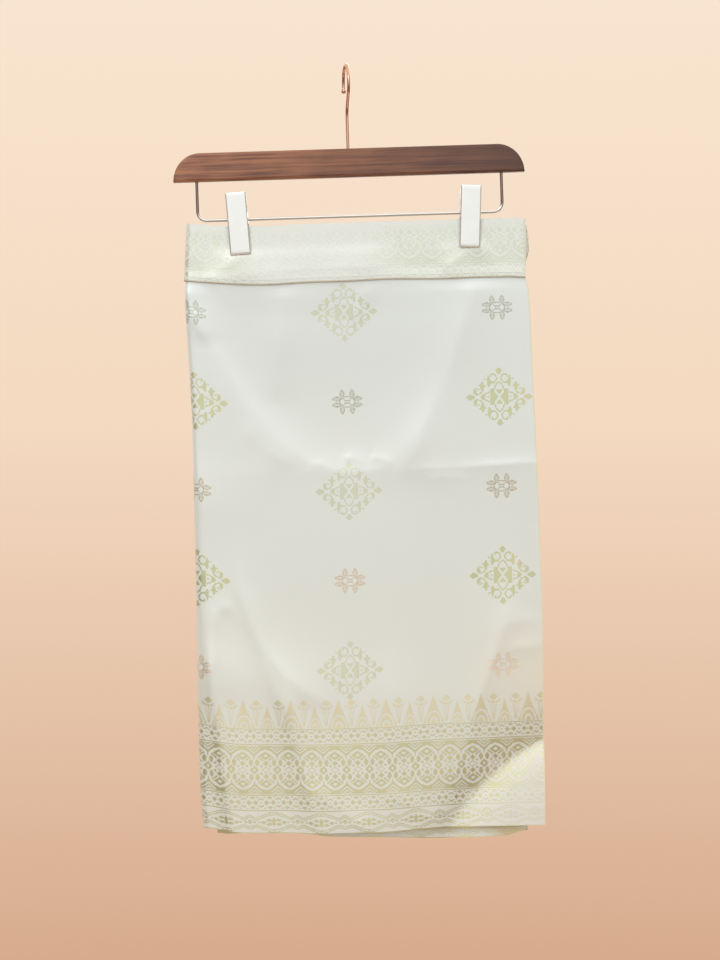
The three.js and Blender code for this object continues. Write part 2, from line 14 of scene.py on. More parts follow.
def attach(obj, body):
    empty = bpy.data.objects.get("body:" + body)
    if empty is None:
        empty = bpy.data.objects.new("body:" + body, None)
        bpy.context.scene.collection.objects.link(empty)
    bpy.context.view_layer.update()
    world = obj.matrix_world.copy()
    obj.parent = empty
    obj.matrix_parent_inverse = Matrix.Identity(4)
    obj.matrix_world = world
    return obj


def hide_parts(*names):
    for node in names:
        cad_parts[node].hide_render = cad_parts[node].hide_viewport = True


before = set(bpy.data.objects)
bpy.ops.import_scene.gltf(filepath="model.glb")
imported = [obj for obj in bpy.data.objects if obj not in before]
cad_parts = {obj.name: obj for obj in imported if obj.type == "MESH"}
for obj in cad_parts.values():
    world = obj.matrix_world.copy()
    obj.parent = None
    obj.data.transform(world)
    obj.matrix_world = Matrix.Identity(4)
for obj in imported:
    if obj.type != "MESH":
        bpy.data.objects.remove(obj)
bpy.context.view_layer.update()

MM = 0.001
TILT = math.radians(1.8)

# ---- sizes of the cloth, as the solids have them, in millimetres ----
TOP = -156.7  # level of the waistband's top edge
LENGTH = 606.5  # from there to the hem
MIDDLE_DROP = 285.0  # the level where lengths along the cloth are measured
BAND_HEIGHT = 58
CORNER_LIFT = {"height": 4.6, "from": -100, "to": -164}
FOLD_REACH = 42
# How far below the waistband's hem the ridges and the finer creases reach their full height, and the drops
# between which the waistband's own puckers show.
RIDGE_EASE = 34
CREASE_EASE = 14
PUCKERS = {"from": 18, "rise": 14, "to": 112, "fall": 54}

LEVEL_COLUMNS = (
    "drop", "free_edge", "outer_fold", "back_fold", "inner_fold", "inner_edge",
    "front", "second", "third", "back", "outer_bend", "back_bend", "inner_bend",
)
LEVELS = [
    (0, 174.6, -162.4, 175.0, -157.0, 165, -4.1, -2.5, 2.5, 4.1, 4.1, 0.85, 2.5),
    (22, 174.3, -164.0, 176.7, -158.0, 165, -4.1, -2.5, 2.5, 4.1, 4.1, 0.85, 2.5),
    (42, 173.8, -165.4, 171.5, -158.6, 165, -4.1, -2.5, 2.5, 4.1, 4.1, 0.85, 2.5),
    (58, 172.8, -166.2, 169.5, -158.6, 165, -4.1, -2.5, 2.5, 4.1, 4.1, 0.85, 2.5),
    (68, 175.6, -167.2, 169.8, -158.0, 166, -4.1, -2.3, 2.4, 4.2, 4.2, 1.0, 2.4),
    (88, 176.6, -167.2, 170.6, -157.4, 167, -4.1, -2.1, 2.1, 4.2, 4.3, 1.2, 2.3),
    (145, 177.2, -165.5, 171.2, -156.6, 168, -4.1, -2.1, 2.1, 4.2, 4.6, 1.5, 2.2),
    (205, 178.3, -164.2, 170.2, -156.0, 169, -4.3, -2.1, 2.1, 4.4, 4.9, 1.8, 2.2),
    (285, 179.2, -164.9, 168.1, -155.2, 169, -4.5, -2.1, 2.1, 4.6, 5.2, 2.1, 2.3),
    (365, 179.3, -165.4, 165.5, -154.4, 169, -4.8, -2.1, 2.1, 4.9, 5.6, 2.4, 2.4),
    (485, 178.0, -167.3, 162.1, -153.2, 168, -5.1, -2.1, 2.1, 5.2, 6.0, 2.7, 2.5),
    (565, 176.8, -167.5, 160.0, -152.2, 167, -5.3, -2.2, 2.2, 5.4, 6.3, 2.9, 2.6),
    (606.5, 175.5, -165.6, 158.7, -151.5, 166, -5.5, -2.2, 2.2, 5.6, 6.5, 3.0, 2.7),
]
EDGE_COLUMNS = ("along", "top", "hem")
EDGES = [
    (0, 1.6, 0), (0.05, 0.2, 0), (0.3, 0, -0.2), (0.5, -0.3, 2), (0.64, -0.2, 1.8), (0.78, 0.6, -0.6),
    (0.9, 0.2, -1.6), (1, 0, -3.6), (1.2, 1, -2.5), (1.5, 3, 0), (1.85, 6, 1.5), (2, 7, 5.5),
    (2.08, 7.5, 11.2), (2.25, 7.5, 11.4), (2.45, 6, 8.2), (2.63, 5, 5.6), (2.76, 5, -0.4), (2.9, 6, -2.4),
    (3, 7, 0.6), (3.15, 6, -4), (3.5, 5, -5), (4, 6, -4),
]
# Soft ridges (+, outwards to the viewer) and troughs (-) that all the layers share. They are as the solids
# have them, but for the last two rows, a trough that is sharper here and nearer the lower right corner.
# bow is how far the middle of the line stands off its chord, left and right how wide it is on either side of
# the line for one who follows it down, and crisp the radius of its crest.
RIDGE_COLUMNS = ("from_u", "from_drop", "to_u", "to_drop", "bow", "left", "right", "high", "crisp")
RIDGES = [
    (-124, 340, -40, 476, -22, 20, 16, 1.9, 3),
    (-156, 420, -130, 650, 0, 15, 60, 8.0, 2),
    (-84, 440, -42, 640, 0, 16, 30, 5.0, 4),
    (26, 440, 8, 640, 0, 18, 30, 2.8, 6),
    (150, 372, 62, 640, -2, 24, 30, 2.4, 2),
    (232, 502, 52, 668, -34, 40, 28, -1.7, 5),
    (232, 502, 52, 668, -34, 19, 24, -6.0, 7),
]
RIDGE_ENDS = {"full": 0.3, "fade": 0.2}
# The broad hollow that hangs between the clips, down to the storage crease. Each edge is a bowed line as
# above. side is +1 where the hollow lies to the right of one who follows it down, reach how far inside it the
# slope runs, and soft how rounded the edge is.
HOLLOW_DEEP = 5.6
HOLLOW_COLUMNS = ("from_u", "from_drop", "to_u", "to_drop", "bow", "side", "reach", "soft")
HOLLOW_EDGES = [
    (-170, 70, -44, 246, -17, 1, 16, 6),
    (116, 60, 38, 246, 12, -1, 15, 7),
    (-160, 248, 180, 245, 0, 1, 17, 2),
    (-160, 96, 180, 96, 0, -1, 80, 36),
]
# Finer creases of the cloth, with the same columns as the ridges.
FRONT_CREASES = [
    # the storage crease across the middle, in stretches of uneven depth
    (-160, 247, -60, 247, 0, 60, 12, 0.3, 1.0),
    (50, 248, 182, 244, 0, 60, 9, 1.0, 0.5),
    (-46, 238, -26, 246, 2, 6, 5, 0.7, 0.6),
    (-14, 233, 6, 240, 2, 8, 5, 0.9, 0.6),
    (14, 234, 34, 242, 2, 8, 5, 0.9, 0.6),
    (104, 247, 182, 243, 0, 12, 4, 0.8, 0.4),
    (68, 257, 108, 258, 1, 8, 4, 0.35, 0.6),
    # soft folds that run down from the clips
    (-168, 62, -146, 116, -3, 8, 9, 2.0, 1.2),
    (-172, 50, -50, 238, -16, 40, 11, 1.4, 2.0),
    (-112, 200, -66, 240, -3, 14, 7, 0.6, 1.6),
    (131, 34, 46, 250, 6, 22, 34, 2.8, 2.5),
    (-66, 60, -80, 170, 0, 14, 16, 1.5, 4.0),
    (18, 58, 2, 96, 0, 5, 7, 0.7, 1.0),
    # wrinkles by the outer fold, and the soft rib beside it lower down
    (-155, 250, -153, 480, 0, 10, 30, 2.4, 1.5),
    (-166, 96, -136, 84, 0, 4, 4, 0.25, 0.8),
    # the fold at the lower left, with the pucker beside it
    (-124, 340, -40, 476, -22, 20, 16, -0.8, 3.0),
    (-124, 340, -40, 478, -22, 7, 5, 0.8, 0.9),
    (-112, 372, -74, 500, -6, 6, 9, 0.9, 1.2),
    (-151, 450, -149, 392, 0, 5, 5, 0.9, 1.0),
    (-150, 396, -128, 382, 5, 6, 5, 1.0, 0.9),
    # the shelf and the bend at the lower right
    (147, 392, 104, 500, 0, 6, 9, 1.2, 1.0),
    (142, 430, 178, 426, 0, 6, 5, 0.7, 0.8),
    (142, 404, 174, 400, 0, 6, 5, 0.5, 0.8),
    # folds of the border
    (232, 502, 52, 668, -34, 8, 8, -1.1, 1.5),
    (-141, 484, -116, 610, 2, 6, 9, 1.1, 1.2),
    (-122, 500, -104, 620, 2, 5, 7, 0.6, 1.2),
    (-64, 560, 0, 606, 3, 9, 9, 0.9, 2.5),
    (18, 566, 66, 604, 3, 9, 9, 0.7, 2.5),
]
# Puckers of the waistband between and under the clips.
BAND_CREASES = [
    (133, 22, 90, 50, 0, 9, 22, 1.3, 0.9),
    (-102, 24, -146, 56, 0, 12, 22, 1.0, 1.2),
    (-132, 49, 40, 46, 2, 12, 24, 1.5, 1.5),
    (88, 28, 118, 22, 0, 8, 8, 0.4, 1.0),
]
BACK_CREASES = [
    (-150, 248, 160, 245, 0, 30, 12, 1.0, 0.8),
    (-90, 70, -40, 230, -8, 12, 12, 1.2, 4.0),
    (100, 70, 48, 240, 9, 12, 12, 1.3, 4.0),
    (10, 260, -30, 420, 6, 16, 16, 0.8, 6.0),
    (-130, 330, -70, 520, -10, 9, 9, 1.1, 2.0),
    (-112, 360, -60, 520, -6, 9, 9, -0.9, 2.5),
    (148, 380, 90, 560, -8, 9, 9, 1.2, 2.5),
    (60, 470, 30, 612, 0, 12, 12, -0.9, 4.0),
    (120, 150, 155, 260, 5, 8, 8, 0.7, 2.0),
]
# How much each layer takes of the shared ridges, the front creases and the back creases.
LAYER_SHARES = {
    "front": (1.0, 1.0, 0.0),
    "second": (1.0, 0.8, 0.2),
    "third": (0.9, 0.35, 0.6),
    "back": (0.9, 0.0, 1.0),
}

# ---- how fine the cloth's grid is ----
LAYER_STEPS = {"front": 96, "back": 70, "third": 44, "second": 44}
FOLD_STEPS = 12
ROW_SPACING = 4.2
FINE_ROWS = [(226, 262, 2.0), (58, 76, 2.2), (594, 606.5, 2.2)]  # from drop, to drop, spacing

CLOTH_WALL = 0.5
BAND = {"inside": 0.42, "wall": 1.15, "hem_puff": 0.6, "rows": 29, "turn": 0.9, "tuck": 1.6, "behind": 0.25}


def srgb(red, green, blue):
    """A colour given as 0 to 255 on screen, as the linear numbers that shaders use."""
    def linear(value):
        c = value / 255
        return c / 12.92 if c <= 0.04045 else ((c + 0.055) / 1.055) ** 2.4
    return (linear(red), linear(green), linear(blue), 1.0)


# ---- shader arithmetic ----

def operator(operation):
    return lambda self, other: self.math(operation, other)


class Field:
    """A number worked out at each point of a surface. Arithmetic on it adds Math nodes to its tree."""

    def __init__(self, tree, socket):
        self.tree = tree
        self.socket = socket

    def math(self, operation, *others, clamp=False):
        node = self.tree.nodes.new("ShaderNodeMath")
        node.operation = operation
        node.use_clamp = clamp
        for slot, value in zip(node.inputs, (self, *others)):
            join(self.tree, slot, value)
        return Field(self.tree, node.outputs[0])

    __add__ = __radd__ = operator("ADD")
    __sub__ = operator("SUBTRACT")
    __mul__ = __rmul__ = operator("MULTIPLY")
    __truediv__ = operator("DIVIDE")
    above = operator("GREATER_THAN")
    below = operator("LESS_THAN")

    def __rsub__(self, other):
        return (self * -1) + other

    def clamped(self):
        return self.math("ADD", 0.0, clamp=True)


def join(tree, slot, value):
    """Sets an input socket to a number or colour, or links another socket to it."""
    if isinstance(value, Field):
        value = value.socket
    if isinstance(value, bpy.types.NodeSocket):
        tree.links.new(value, slot)
    else:
        slot.default_value = value


def add_node(tree, kind, inputs=None, **settings):
    node = tree.nodes.new(kind)
    for name, value in settings.items():
        setattr(node, name, value)
    for name, value in (inputs or {}).items():
        join(tree, node.inputs[name], value)
    return node


def noise_field(tree, vector, scale, detail, roughness=0.55):
    node = add_node(tree, "ShaderNodeTexNoise",
                    {"Vector": vector, "Scale": scale, "Detail": detail, "Roughness": roughness})
    return Field(tree, node.outputs["Fac"])


def mix_colors(tree, factor, first, second):
    node = add_node(tree, "ShaderNodeMix", data_type="RGBA")
    for index, value in ((0, factor), (6, first), (7, second)):
        join(tree, node.inputs[index], value)
    return node.outputs[2]


def combine(tree, x, y, z):
    node = add_node(tree, "ShaderNodeCombineXYZ", {"X": x, "Y": y, "Z": z})
    return node.outputs[0]


def split_vector(tree, vector):
    node = add_node(tree, "ShaderNodeSeparateXYZ", {"Vector": vector})
    return [Field(tree, part) for part in node.outputs]


def color_ramp(tree, factor, stops):
    """The colour at factor among stops of (place, colour), the first at 0 and the last at 1."""
    node = add_node(tree, "ShaderNodeValToRGB", {"Fac": factor})
    elements = node.color_ramp.elements
    elements[0].color, elements[1].color = stops[0][1], stops[-1][1]
    for place, color in stops[1:-1]:
        elements.new(place).color = color
    return node.outputs[0]


def new_material(name):
    """An empty node material with its Principled shader already on the output."""
    made = bpy.data.materials.new(name)
    made.use_nodes = True
    tree = made.node_tree
    tree.nodes.clear()
    output = tree.nodes.new("ShaderNodeOutputMaterial")
    shader = tree.nodes.new("ShaderNodeBsdfPrincipled")
    tree.links.new(shader.outputs[0], output.inputs[0])
    return made, tree, shader


def set_shader(tree, shader, **values):
    """Sets sockets of the Principled shader by name, with _ for a space."""
    for name, value in values.items():
        join(tree, shader.inputs[name.replace("_", " ")], value)


def add_bump(tree, shader, height, distance, strength):
    bump = add_node(tree, "ShaderNodeBump", {"Strength": strength, "Distance": distance, "Height": height})
    tree.links.new(bump.outputs[0], shader.inputs["Normal"])


# ---- songket charts: which threads of a motif are gold, drawn with simple strokes on squared paper ----

CHART_ROWS = 32
CHANNEL_BITS = 16


class Chart:
    """Squared paper over width by height mm, its first cell at the motif's centre or left edge."""

    def __init__(self, width, height, columns, rows):
        self.width, self.height, self.columns, self.rows = width, height, columns, rows
        self.cells = np.zeros((rows, columns), bool)
        self.x, self.y = np.meshgrid(
            (np.arange(columns) + 0.5) * width / columns, (np.arange(rows) + 0.5) * height / rows
        )

    def paint(self, shape, gold=True):
        self.cells[shape] = gold
        return self

    def shape(self, kind, x, y, rx, ry):
        """Cells within a diamond, an oval, or a leaf that is pointed along x or along y."""
        across, up = abs(self.x - x) / rx, abs(self.y - y) / ry
        power_x, power_y = {"diamond": (1, 1), "oval": (2, 2), "wide_leaf": (1, 2), "tall_leaf": (2, 1)}[kind]
        return across ** power_x + up ** power_y < 1

    def fill(self, kind, x, y, rx, ry, gold=True):
        return self.paint(self.shape(kind, x, y, rx, ry), gold)

    def ring(self, kind, x, y, rx, ry, rim):
        return self.paint(self.shape(kind, x, y, rx, ry) & ~self.shape(kind, x, y, rx - rim, ry - rim))

    def box(self, x0, x1, y0, y1, gold=True):
        return self.paint((self.x > x0) & (self.x < x1) & (self.y > y0) & (self.y < y1), gold)

    def line(self, points, thick, gold=True):
        for (x0, y0), (x1, y1) in zip(points, points[1:]):
            dx, dy = x1 - x0, y1 - y0
            t = np.clip(((self.x - x0) * dx + (self.y - y0) * dy) / (dx * dx + dy * dy), 0, 1)
            away = np.hypot(self.x - x0 - t * dx, self.y - y0 - t * dy)
            self.paint(away < thick / 2, gold)
        return self

    def hatch(self, shape):
        """Fills a shape with every other row, as a ground of single threads."""
        return self.paint(shape & (np.arange(self.rows) % 2 == 0)[:, None])


def large_motif():
    """A quarter of the flowering lozenge: scrolls and leaf spurs round a barred medallion."""
    c = Chart(33.6, 28.8, 48, 32)
    c.fill("tall_leaf", 0, 25.8, 2.9, 3.4).fill("diamond", 0, 26.6, 3.6, 1.2)
    c.fill("wide_leaf", 28.9, 0, 4.4, 2.8).fill("diamond", 29.6, 0, 1.6, 3.8)
    c.ring("oval", 5.9, 18.6, 4.3, 4.7, 1.4).box(7.4, 11, 17.4, 21.4, False).fill("oval", 7.7, 20.6, 1.1, 0.9)
    c.line([(4.6, 14.6), (7.6, 13.8), (10.0, 12.6)], 1.3)
    c.fill("tall_leaf", 10.4, 15.6, 1.8, 6.2).line([(10.8, 17.4), (14.6, 18.0)], 1.1)
    c.fill("tall_leaf", 16.9, 10.2, 2.2, 5.2).line([(17.2, 12.2), (20.4, 11.2)], 1.2)
    c.line([(14.2, 11.4), (15.6, 9.8)], 1.5)
    c.box(22.4, 26.2, 3.6, 7.6).line([(25.6, 7.4), (22.8, 8.9), (20.4, 7.8)], 1.1)
    c.line([(25.2, 3.8), (22.6, 2.6), (19.4, 3.2), (17.0, 5.6)], 1.4)
    c.line([(17.6, 0), (14.8, 2.7), (10.4, 4.5)], 1.2).fill("diamond", 16.4, 0, 2.6, 3.2)
    c.fill("diamond", 11.1, 0, 1.2, 1.3).box(4.7, 8.9, 0, 7.9)
    c.line([(4.6, 7.4), (4.2, 10.2), (2.6, 13.0), (0, 14.9)], 1.3)
    c.paint((c.x < (c.y - 1.7) * 0.62) & (c.y < 6.9)).paint((c.y < (c.x - 1.4) * 1.5) & (c.x < 4.8))
    return c


def small_rosette():
    """A quarter of the eight-petalled rosette, petals outlined and lightly filled."""
    c = Chart(15.2, 12.6, 26, 20)
    c.hatch(c.shape("wide_leaf", 10.7, 3.1, 4.4, 2.4)).ring("wide_leaf", 10.4, 3.1, 4.7, 2.5, 0.95)
    c.hatch(c.shape("tall_leaf", 5.0, 8.0, 2.5, 4.2)).ring("tall_leaf", 5.0, 7.8, 2.7, 4.5, 0.95)
    c.line([(0, 5.3), (3.0, 4.7)], 1.0).line([(7.7, 0), (7.6, 2.4)], 1.0)
    c.line([(0, 1.4), (2.0, 1.1), (4.4, 3.5)], 0.9).line([(2.2, 0), (2.0, 1.1)], 0.8)
    c.line([(5.6, 3.4), (6.9, 1.4)], 0.8)
    return c


def ogee_band():
    """A quarter of the ogee band, from the middle of an ogee out to its neighbour and up to the edge line."""
    c = Chart(11.5, 24.0, 20, 32)
    c.fill("diamond", 0, 14.2, 6.6, 4.3).fill("diamond", 0, 14.2, 2.6, 1.7, False)
    c.ring("diamond", 0, 0, 4.4, 3.3, 1.2).fill("diamond", 0, 6.5, 3.0, 2.7)
    c.fill("diamond", 4.4, 3.8, 1.7, 1.5).fill("tall_leaf", 8.3, 7.4, 2.2, 3.6)
    c.line([(3.0, 9.4), (7.4, 12.6)], 1.6)
    c.fill("diamond", 11.5, 0, 4.6, 4.4).fill("diamond", 11.5, 0, 1.3, 1.9, False)
    outline = [(11.5, 11.0), (9.4, 14.0), (5.4, 17.6), (0, 19.6)]
    beyond = np.interp(c.x, [x for x, y in reversed(outline)], [y for x, y in reversed(outline)])
    c.paint(c.y > beyond).line(outline, 1.5, False)
    c.line([(11.5, 11.2), (11.5, 15.4)], 1.3)
    for reach in (16.8, 20.2):
        c.line([(11.5, reach), (5.3, reach + 5.2)], 1.1, False)
    c.line([(11.5, 23.4), (9.6, 24.4)], 1.0, False)
    return c


def diamond_row():
    """Half of a row of open florets, with pairs of small diamonds between them."""
    c = Chart(8.65, 12.6, 14, 18)
    for y, turn in ((6.3, 1), (6.3, -1)):
        c.line([(0, y + 4.6 * turn), (2.2, y + 3.0 * turn)], 1.3)
        c.line([(6.8, y + 4.8 * turn), (8.65, y + 3.9 * turn)], 1.2)
        c.fill("diamond", 8.65, y + 5.8 * turn, 1.4, 1.0).fill("diamond", 3.6, y + 5.4 * turn, 1.3, 0.9)
    for x, rx, ry in ((5.4, 2.3, 2.8), (0, 1.0, 1.1), (8.65, 0.9, 1.2)):
        c.fill("diamond", x, 6.3, rx, ry)
    return c


def wave_band():
    """Half of the wave above the hem: paired zigzags that part round a spray and meet round a floret."""
    c = Chart(23.8, 21.6, 32, 28)
    for shift in (0, 2.1):
        c.line([(0, 20.6 - shift), (4.4, 20.0 - shift), (18.2, 15.0 - shift), (23.8, 18.4 - shift)], 0.95)
        c.line([(0, 0.9 + shift), (4.8, 1.6 + shift), (17.4, 6.4 + shift), (23.8, 4.2 + shift)], 0.95)
    c.fill("tall_leaf", 0, 11, 1.9, 4.6)
    c.fill("wide_leaf", 4.6, 12.9, 3.0, 1.6).fill("wide_leaf", 4.8, 8.8, 3.2, 1.5)
    c.fill("diamond", 10.2, 10.6, 3.0, 1.9).fill("diamond", 14.6, 10.8, 1.3, 1.2)
    c.fill("diamond", 23.8, 11.3, 2.6, 2.8).fill("diamond", 23.8, 11.3, 0.9, 1.0, False)
    c.fill("diamond", 19.6, 11.0, 1.7, 1.3)
    c.line([(0, 0.5), (23.8, 0.5)], 0.8)
    return c


def bamboo_shoots():
    """Half of the row of shoots: a tall one, a bloom on its bundled stems and a low one."""
    c = Chart(23.65, 29.0, 36, 32)
    for x, half, tall in ((0, 11.0, 29.6), (23.65, 7.8, 23.4)):
        lean = np.clip(1 - c.y / tall, 0, 1)
        c.paint(abs(c.x - x) < half * lean ** 1.25)
        ovals = ((0.74, 0.43), (0.6, 0.37), (0.38, 0.22), (0.22, 0.15))
        for i, (wide, high) in enumerate(ovals):
            c.fill("oval", x, 0, half * wide, tall * high, i % 2 == 1)
    middle = 12.6
    for lean in (-1, 0, 1):
        c.line([(middle + 0.5 * lean, 2.0), (middle + 2.7 * lean, 17.4)], 0.8)
        c.line([(middle + 3.8 * lean, 19.4), (middle + 6.0 * lean, 22.4)], 1.4)
    c.fill("diamond", middle, 24.6, 4.3, 3.9)
    for half, ends, dip, thick, gold in ((3.4, 22.6, 21.2, 0.8, False), (3.2, 20.2, 18.6, 1.2, True)):
        c.line([(middle - half, ends), (middle, dip), (middle + half, ends)], thick, gold)
    return c


def read_chart(tree, chart, x, y):
    """The chart's value at x, y mm from its first corner: a ramp holds each row's threads as one number."""
    row = (y * (1 / chart.height)).math("MULTIPLY", chart.rows).math("FLOOR")
    column = (x * (chart.columns / chart.width)).math("FLOOR")
    ramp_node = tree.nodes.new("ShaderNodeValToRGB")
    ramp = ramp_node.color_ramp
    ramp.interpolation = "CONSTANT"
    for r in range(chart.rows):
        if r > 1:
            ramp.elements.new(r / CHART_ROWS)
        ramp.elements[r].position = r / CHART_ROWS
    for r, cells in enumerate(chart.cells):
        padded = np.zeros(3 * CHANNEL_BITS, bool)
        padded[: chart.columns] = cells
        channels = padded.reshape(3, CHANNEL_BITS)
        codes = [sum(2.0 ** -(k + 1) for k in np.flatnonzero(channel)) for channel in channels]
        ramp.elements[r].color = (*codes, 1.0)
    join(tree, ramp_node.inputs[0], (row + 0.5) / CHART_ROWS)
    split = add_node(tree, "ShaderNodeSeparateColor")
    tree.links.new(ramp_node.outputs[0], split.inputs[0])
    channel_count = -(-chart.columns // CHANNEL_BITS)
    code = Field(tree, split.outputs[0])
    for channel in range(1, channel_count):
        chosen = column.above(channel * CHANNEL_BITS - 0.5)
        code = code + chosen * (Field(tree, split.outputs[channel]) - code)
    threads = (code * power_of_two(column.math("MODULO", CHANNEL_BITS) + 1)).math("FLOOR").math("MODULO", 2)
    within = y.above(0.0) * y.below(chart.height) * x.below(chart.width)
    return threads * within


def power_of_two(exponent):
    node = add_node(exponent.tree, "ShaderNodeMath", operation="POWER")
    join(exponent.tree, node.inputs[0], 2.0)
    join(exponent.tree, node.inputs[1], exponent)
    return Field(exponent.tree, node.outputs[0]).math("ROUND")


# The motifs' places on the flat cloth, in millimetres: s from the free edge, h up from the hem.
COLUMN_START = 36.0
COLUMN_PITCH = 152.5
ROW_PITCH = 89.0
FIRST_MOTIF = LENGTH - 89.0  # height of the highest row of motifs
LEAN = {"slope": 0.0197, "about": 240}  # the columns of motifs run a little askew, about this drop
BORDER_ROWS = [  # chart, where it starts above the hem, its first axis along the cloth, half its pitch
    (wave_band, 0.0, 34.8, 23.85),
    (diamond_row, 24.2, 7.9, 8.65),
    (diamond_row, 90.4, 7.9, 8.65),
    (bamboo_shoots, 104.8, 15.6, 23.65),
]
OGEE = {"middle": 63.2, "first_axis": 26.2, "half_pitch": 11.48}
BORDER_LINES = [  # height above the hem, thickness
    (22.6, 1.1), (38.0, 1.1), (88.4, 1.1), (103.8, 0.9),
]
SHOOTS_FROM = 104.8
BORDER_TOP = 133.0


def songket_pattern(tree):
    """Masks of the gold threads over the flat cloth, with the places s and h they depend on."""
    place = add_node(tree, "ShaderNodeUVMap", uv_map="cloth")
    s, h = (part * (1 / MM) for part in split_vector(tree, place.outputs[0])[:2])

    reach = (h - OGEE["middle"]).math("ABSOLUTE")
    gold = read_chart(tree, ogee_band(), (s - OGEE["first_axis"]).math("PINGPONG", OGEE["half_pitch"]), reach)
    for chart, from_h, first_axis, half_pitch in BORDER_ROWS:
        along = (s - first_axis).math("PINGPONG", half_pitch)
        gold = gold + read_chart(tree, chart(), along, h - from_h)
    for level, thick in BORDER_LINES:
        gold = gold + (h - level).math("ABSOLUTE").below(thick / 2)

    straight = s - (LENGTH - LEAN["about"] - h) * LEAN["slope"]
    column = ((straight - COLUMN_START) / COLUMN_PITCH).math("ROUND")
    level = ((FIRST_MOTIF - h) / ROW_PITCH).math("ROUND").math("MINIMUM", 4.0)
    away_x = (straight - COLUMN_START - column * COLUMN_PITCH).math("ABSOLUTE")
    away_y = (FIRST_MOTIF - h - level * ROW_PITCH).math("ABSOLUTE")
    odd = (column + level + 20).math("MODULO", 2).above(0.5)
    large = read_chart(tree, large_motif(), away_x, away_y) * odd
    small = read_chart(tree, small_rosette(), away_x, away_y) * (1 - odd)
    border, band_ground = h.below(BORDER_TOP), h.below(SHOOTS_FROM)
    return {"s": s, "h": h, "gold": (gold + large + small).clamped(), "small": small, "border": border,
            "band_ground": band_ground, "shoots": border - band_ground}


ROSETTE_COLORS = [  # from the lowest to the highest rosette
    (0.0, srgb(246, 218, 190)), (0.27, srgb(212, 186, 160)), (0.5, srgb(184, 168, 138)),
    (0.75, srgb(168, 168, 146)), (1.0, srgb(170, 172, 150)),
]
SELVAGE = 1.3
BAND_CHART_TOP = 81.4  # height on the border's chart of the waistband's top edge
WEAVE = {"weft": 0.8, "rib": 0.55, "crossing": 0.9}  # pitches of the threads
# Painted sheen: where the gold is painted paler, as if it caught the light, to each side of the middle column
# of motifs, at the free edge's lower corner, and along a stretch of the waistband.
PALE_MIDDLE = {"reach": 96, "share": 0.42}
PALE_CORNER = {"wide": 74, "tall": 100, "share": 0.55}
PAINTED_BAND_SHEEN = {"from": 120, "rise": 50, "to": 305, "fall": 40, "share": 0.72}
BLUSH = {"wide": 90, "height": 150, "half": 70, "share": 0.7}  # a warm patch by the free edge
# Shade on the inner layers' hems: between these heights, and round this place past the back fold.
HEM_SHADE = {"from": 7.4, "to": 14, "past_fold": 14, "half": 30}
# What changes between the sides of the cloth: the border's ground, its thread and how much of the gold shows.
CLOTH_TONES = {
    "right": {"ground": (srgb(231, 230, 221), srgb(229, 227, 215)),
              "thread": (srgb(206, 199, 150), srgb(217, 207, 154)), "gold": 1.0},
    "wrong": {"ground": (srgb(224, 210, 166), srgb(218, 200, 152)),
              "thread": (srgb(190, 176, 124), srgb(200, 184, 132)), "gold": 0.45},
    "band": {"ground": (srgb(234, 236, 230), srgb(232, 234, 227)),
             "thread": (srgb(199, 206, 182), srgb(206, 210, 187)), "gold": 0.9},
}


def place_along(fold):
    """How far along the flat cloth a place lies that is counted in layers, such as 2 for the second fold."""
    return float(np.interp(fold, folded_columns(MIDDLE_DROP)[2], FLAT))


def ripple(place, pitch):
    return (place * (2 * math.pi / pitch)).math("SINE")


def ground_color(tree, pattern, kind, flat):
    """The satin ground: cooler higher up, cloudy, and with its own tones in the border."""
    h = pattern["h"]
    drift = noise_field(tree, flat, 0.006, 2.0)
    cool = ((h - 100) / 420).clamped()
    ground = mix_colors(tree, cool, srgb(230, 229, 219), srgb(229, 234, 232))
    ground = mix_colors(tree, (drift - 0.35).clamped() * 0.8, ground, srgb(230, 230, 222))
    if kind == "right":
        beside = (h - BLUSH["height"]).math("ABSOLUTE")
        blush = (1 - pattern["s"] / BLUSH["wide"]).clamped() * (1 - beside / BLUSH["half"]).clamped()
        ground = mix_colors(tree, blush * BLUSH["share"], ground, srgb(240, 227, 206))
    border_ground = mix_colors(tree, drift, *CLOTH_TONES[kind]["ground"])
    return mix_colors(tree, pattern["band_ground"], ground, border_ground)


def thread_color(tree, pattern, kind, flat):
    """Gold that drifts in hue, with its own tones in the border, the shoots and the rosettes."""
    hue = ((noise_field(tree, flat, 0.011, 1.5) - 0.5) * 3.2 + 0.5).clamped()
    thread = mix_colors(tree, hue, srgb(186, 191, 140), srgb(206, 199, 146))
    border_thread = mix_colors(tree, hue, *CLOTH_TONES[kind]["thread"])
    thread = mix_colors(tree, pattern["border"], thread, border_thread)
    thread = mix_colors(tree, pattern["shoots"] * 0.8, thread, srgb(232, 210, 138))
    rosettes = color_ramp(tree, ((pattern["h"] - 150) / 380).clamped(), ROSETTE_COLORS)
    return mix_colors(tree, pattern["small"], thread, rosettes)


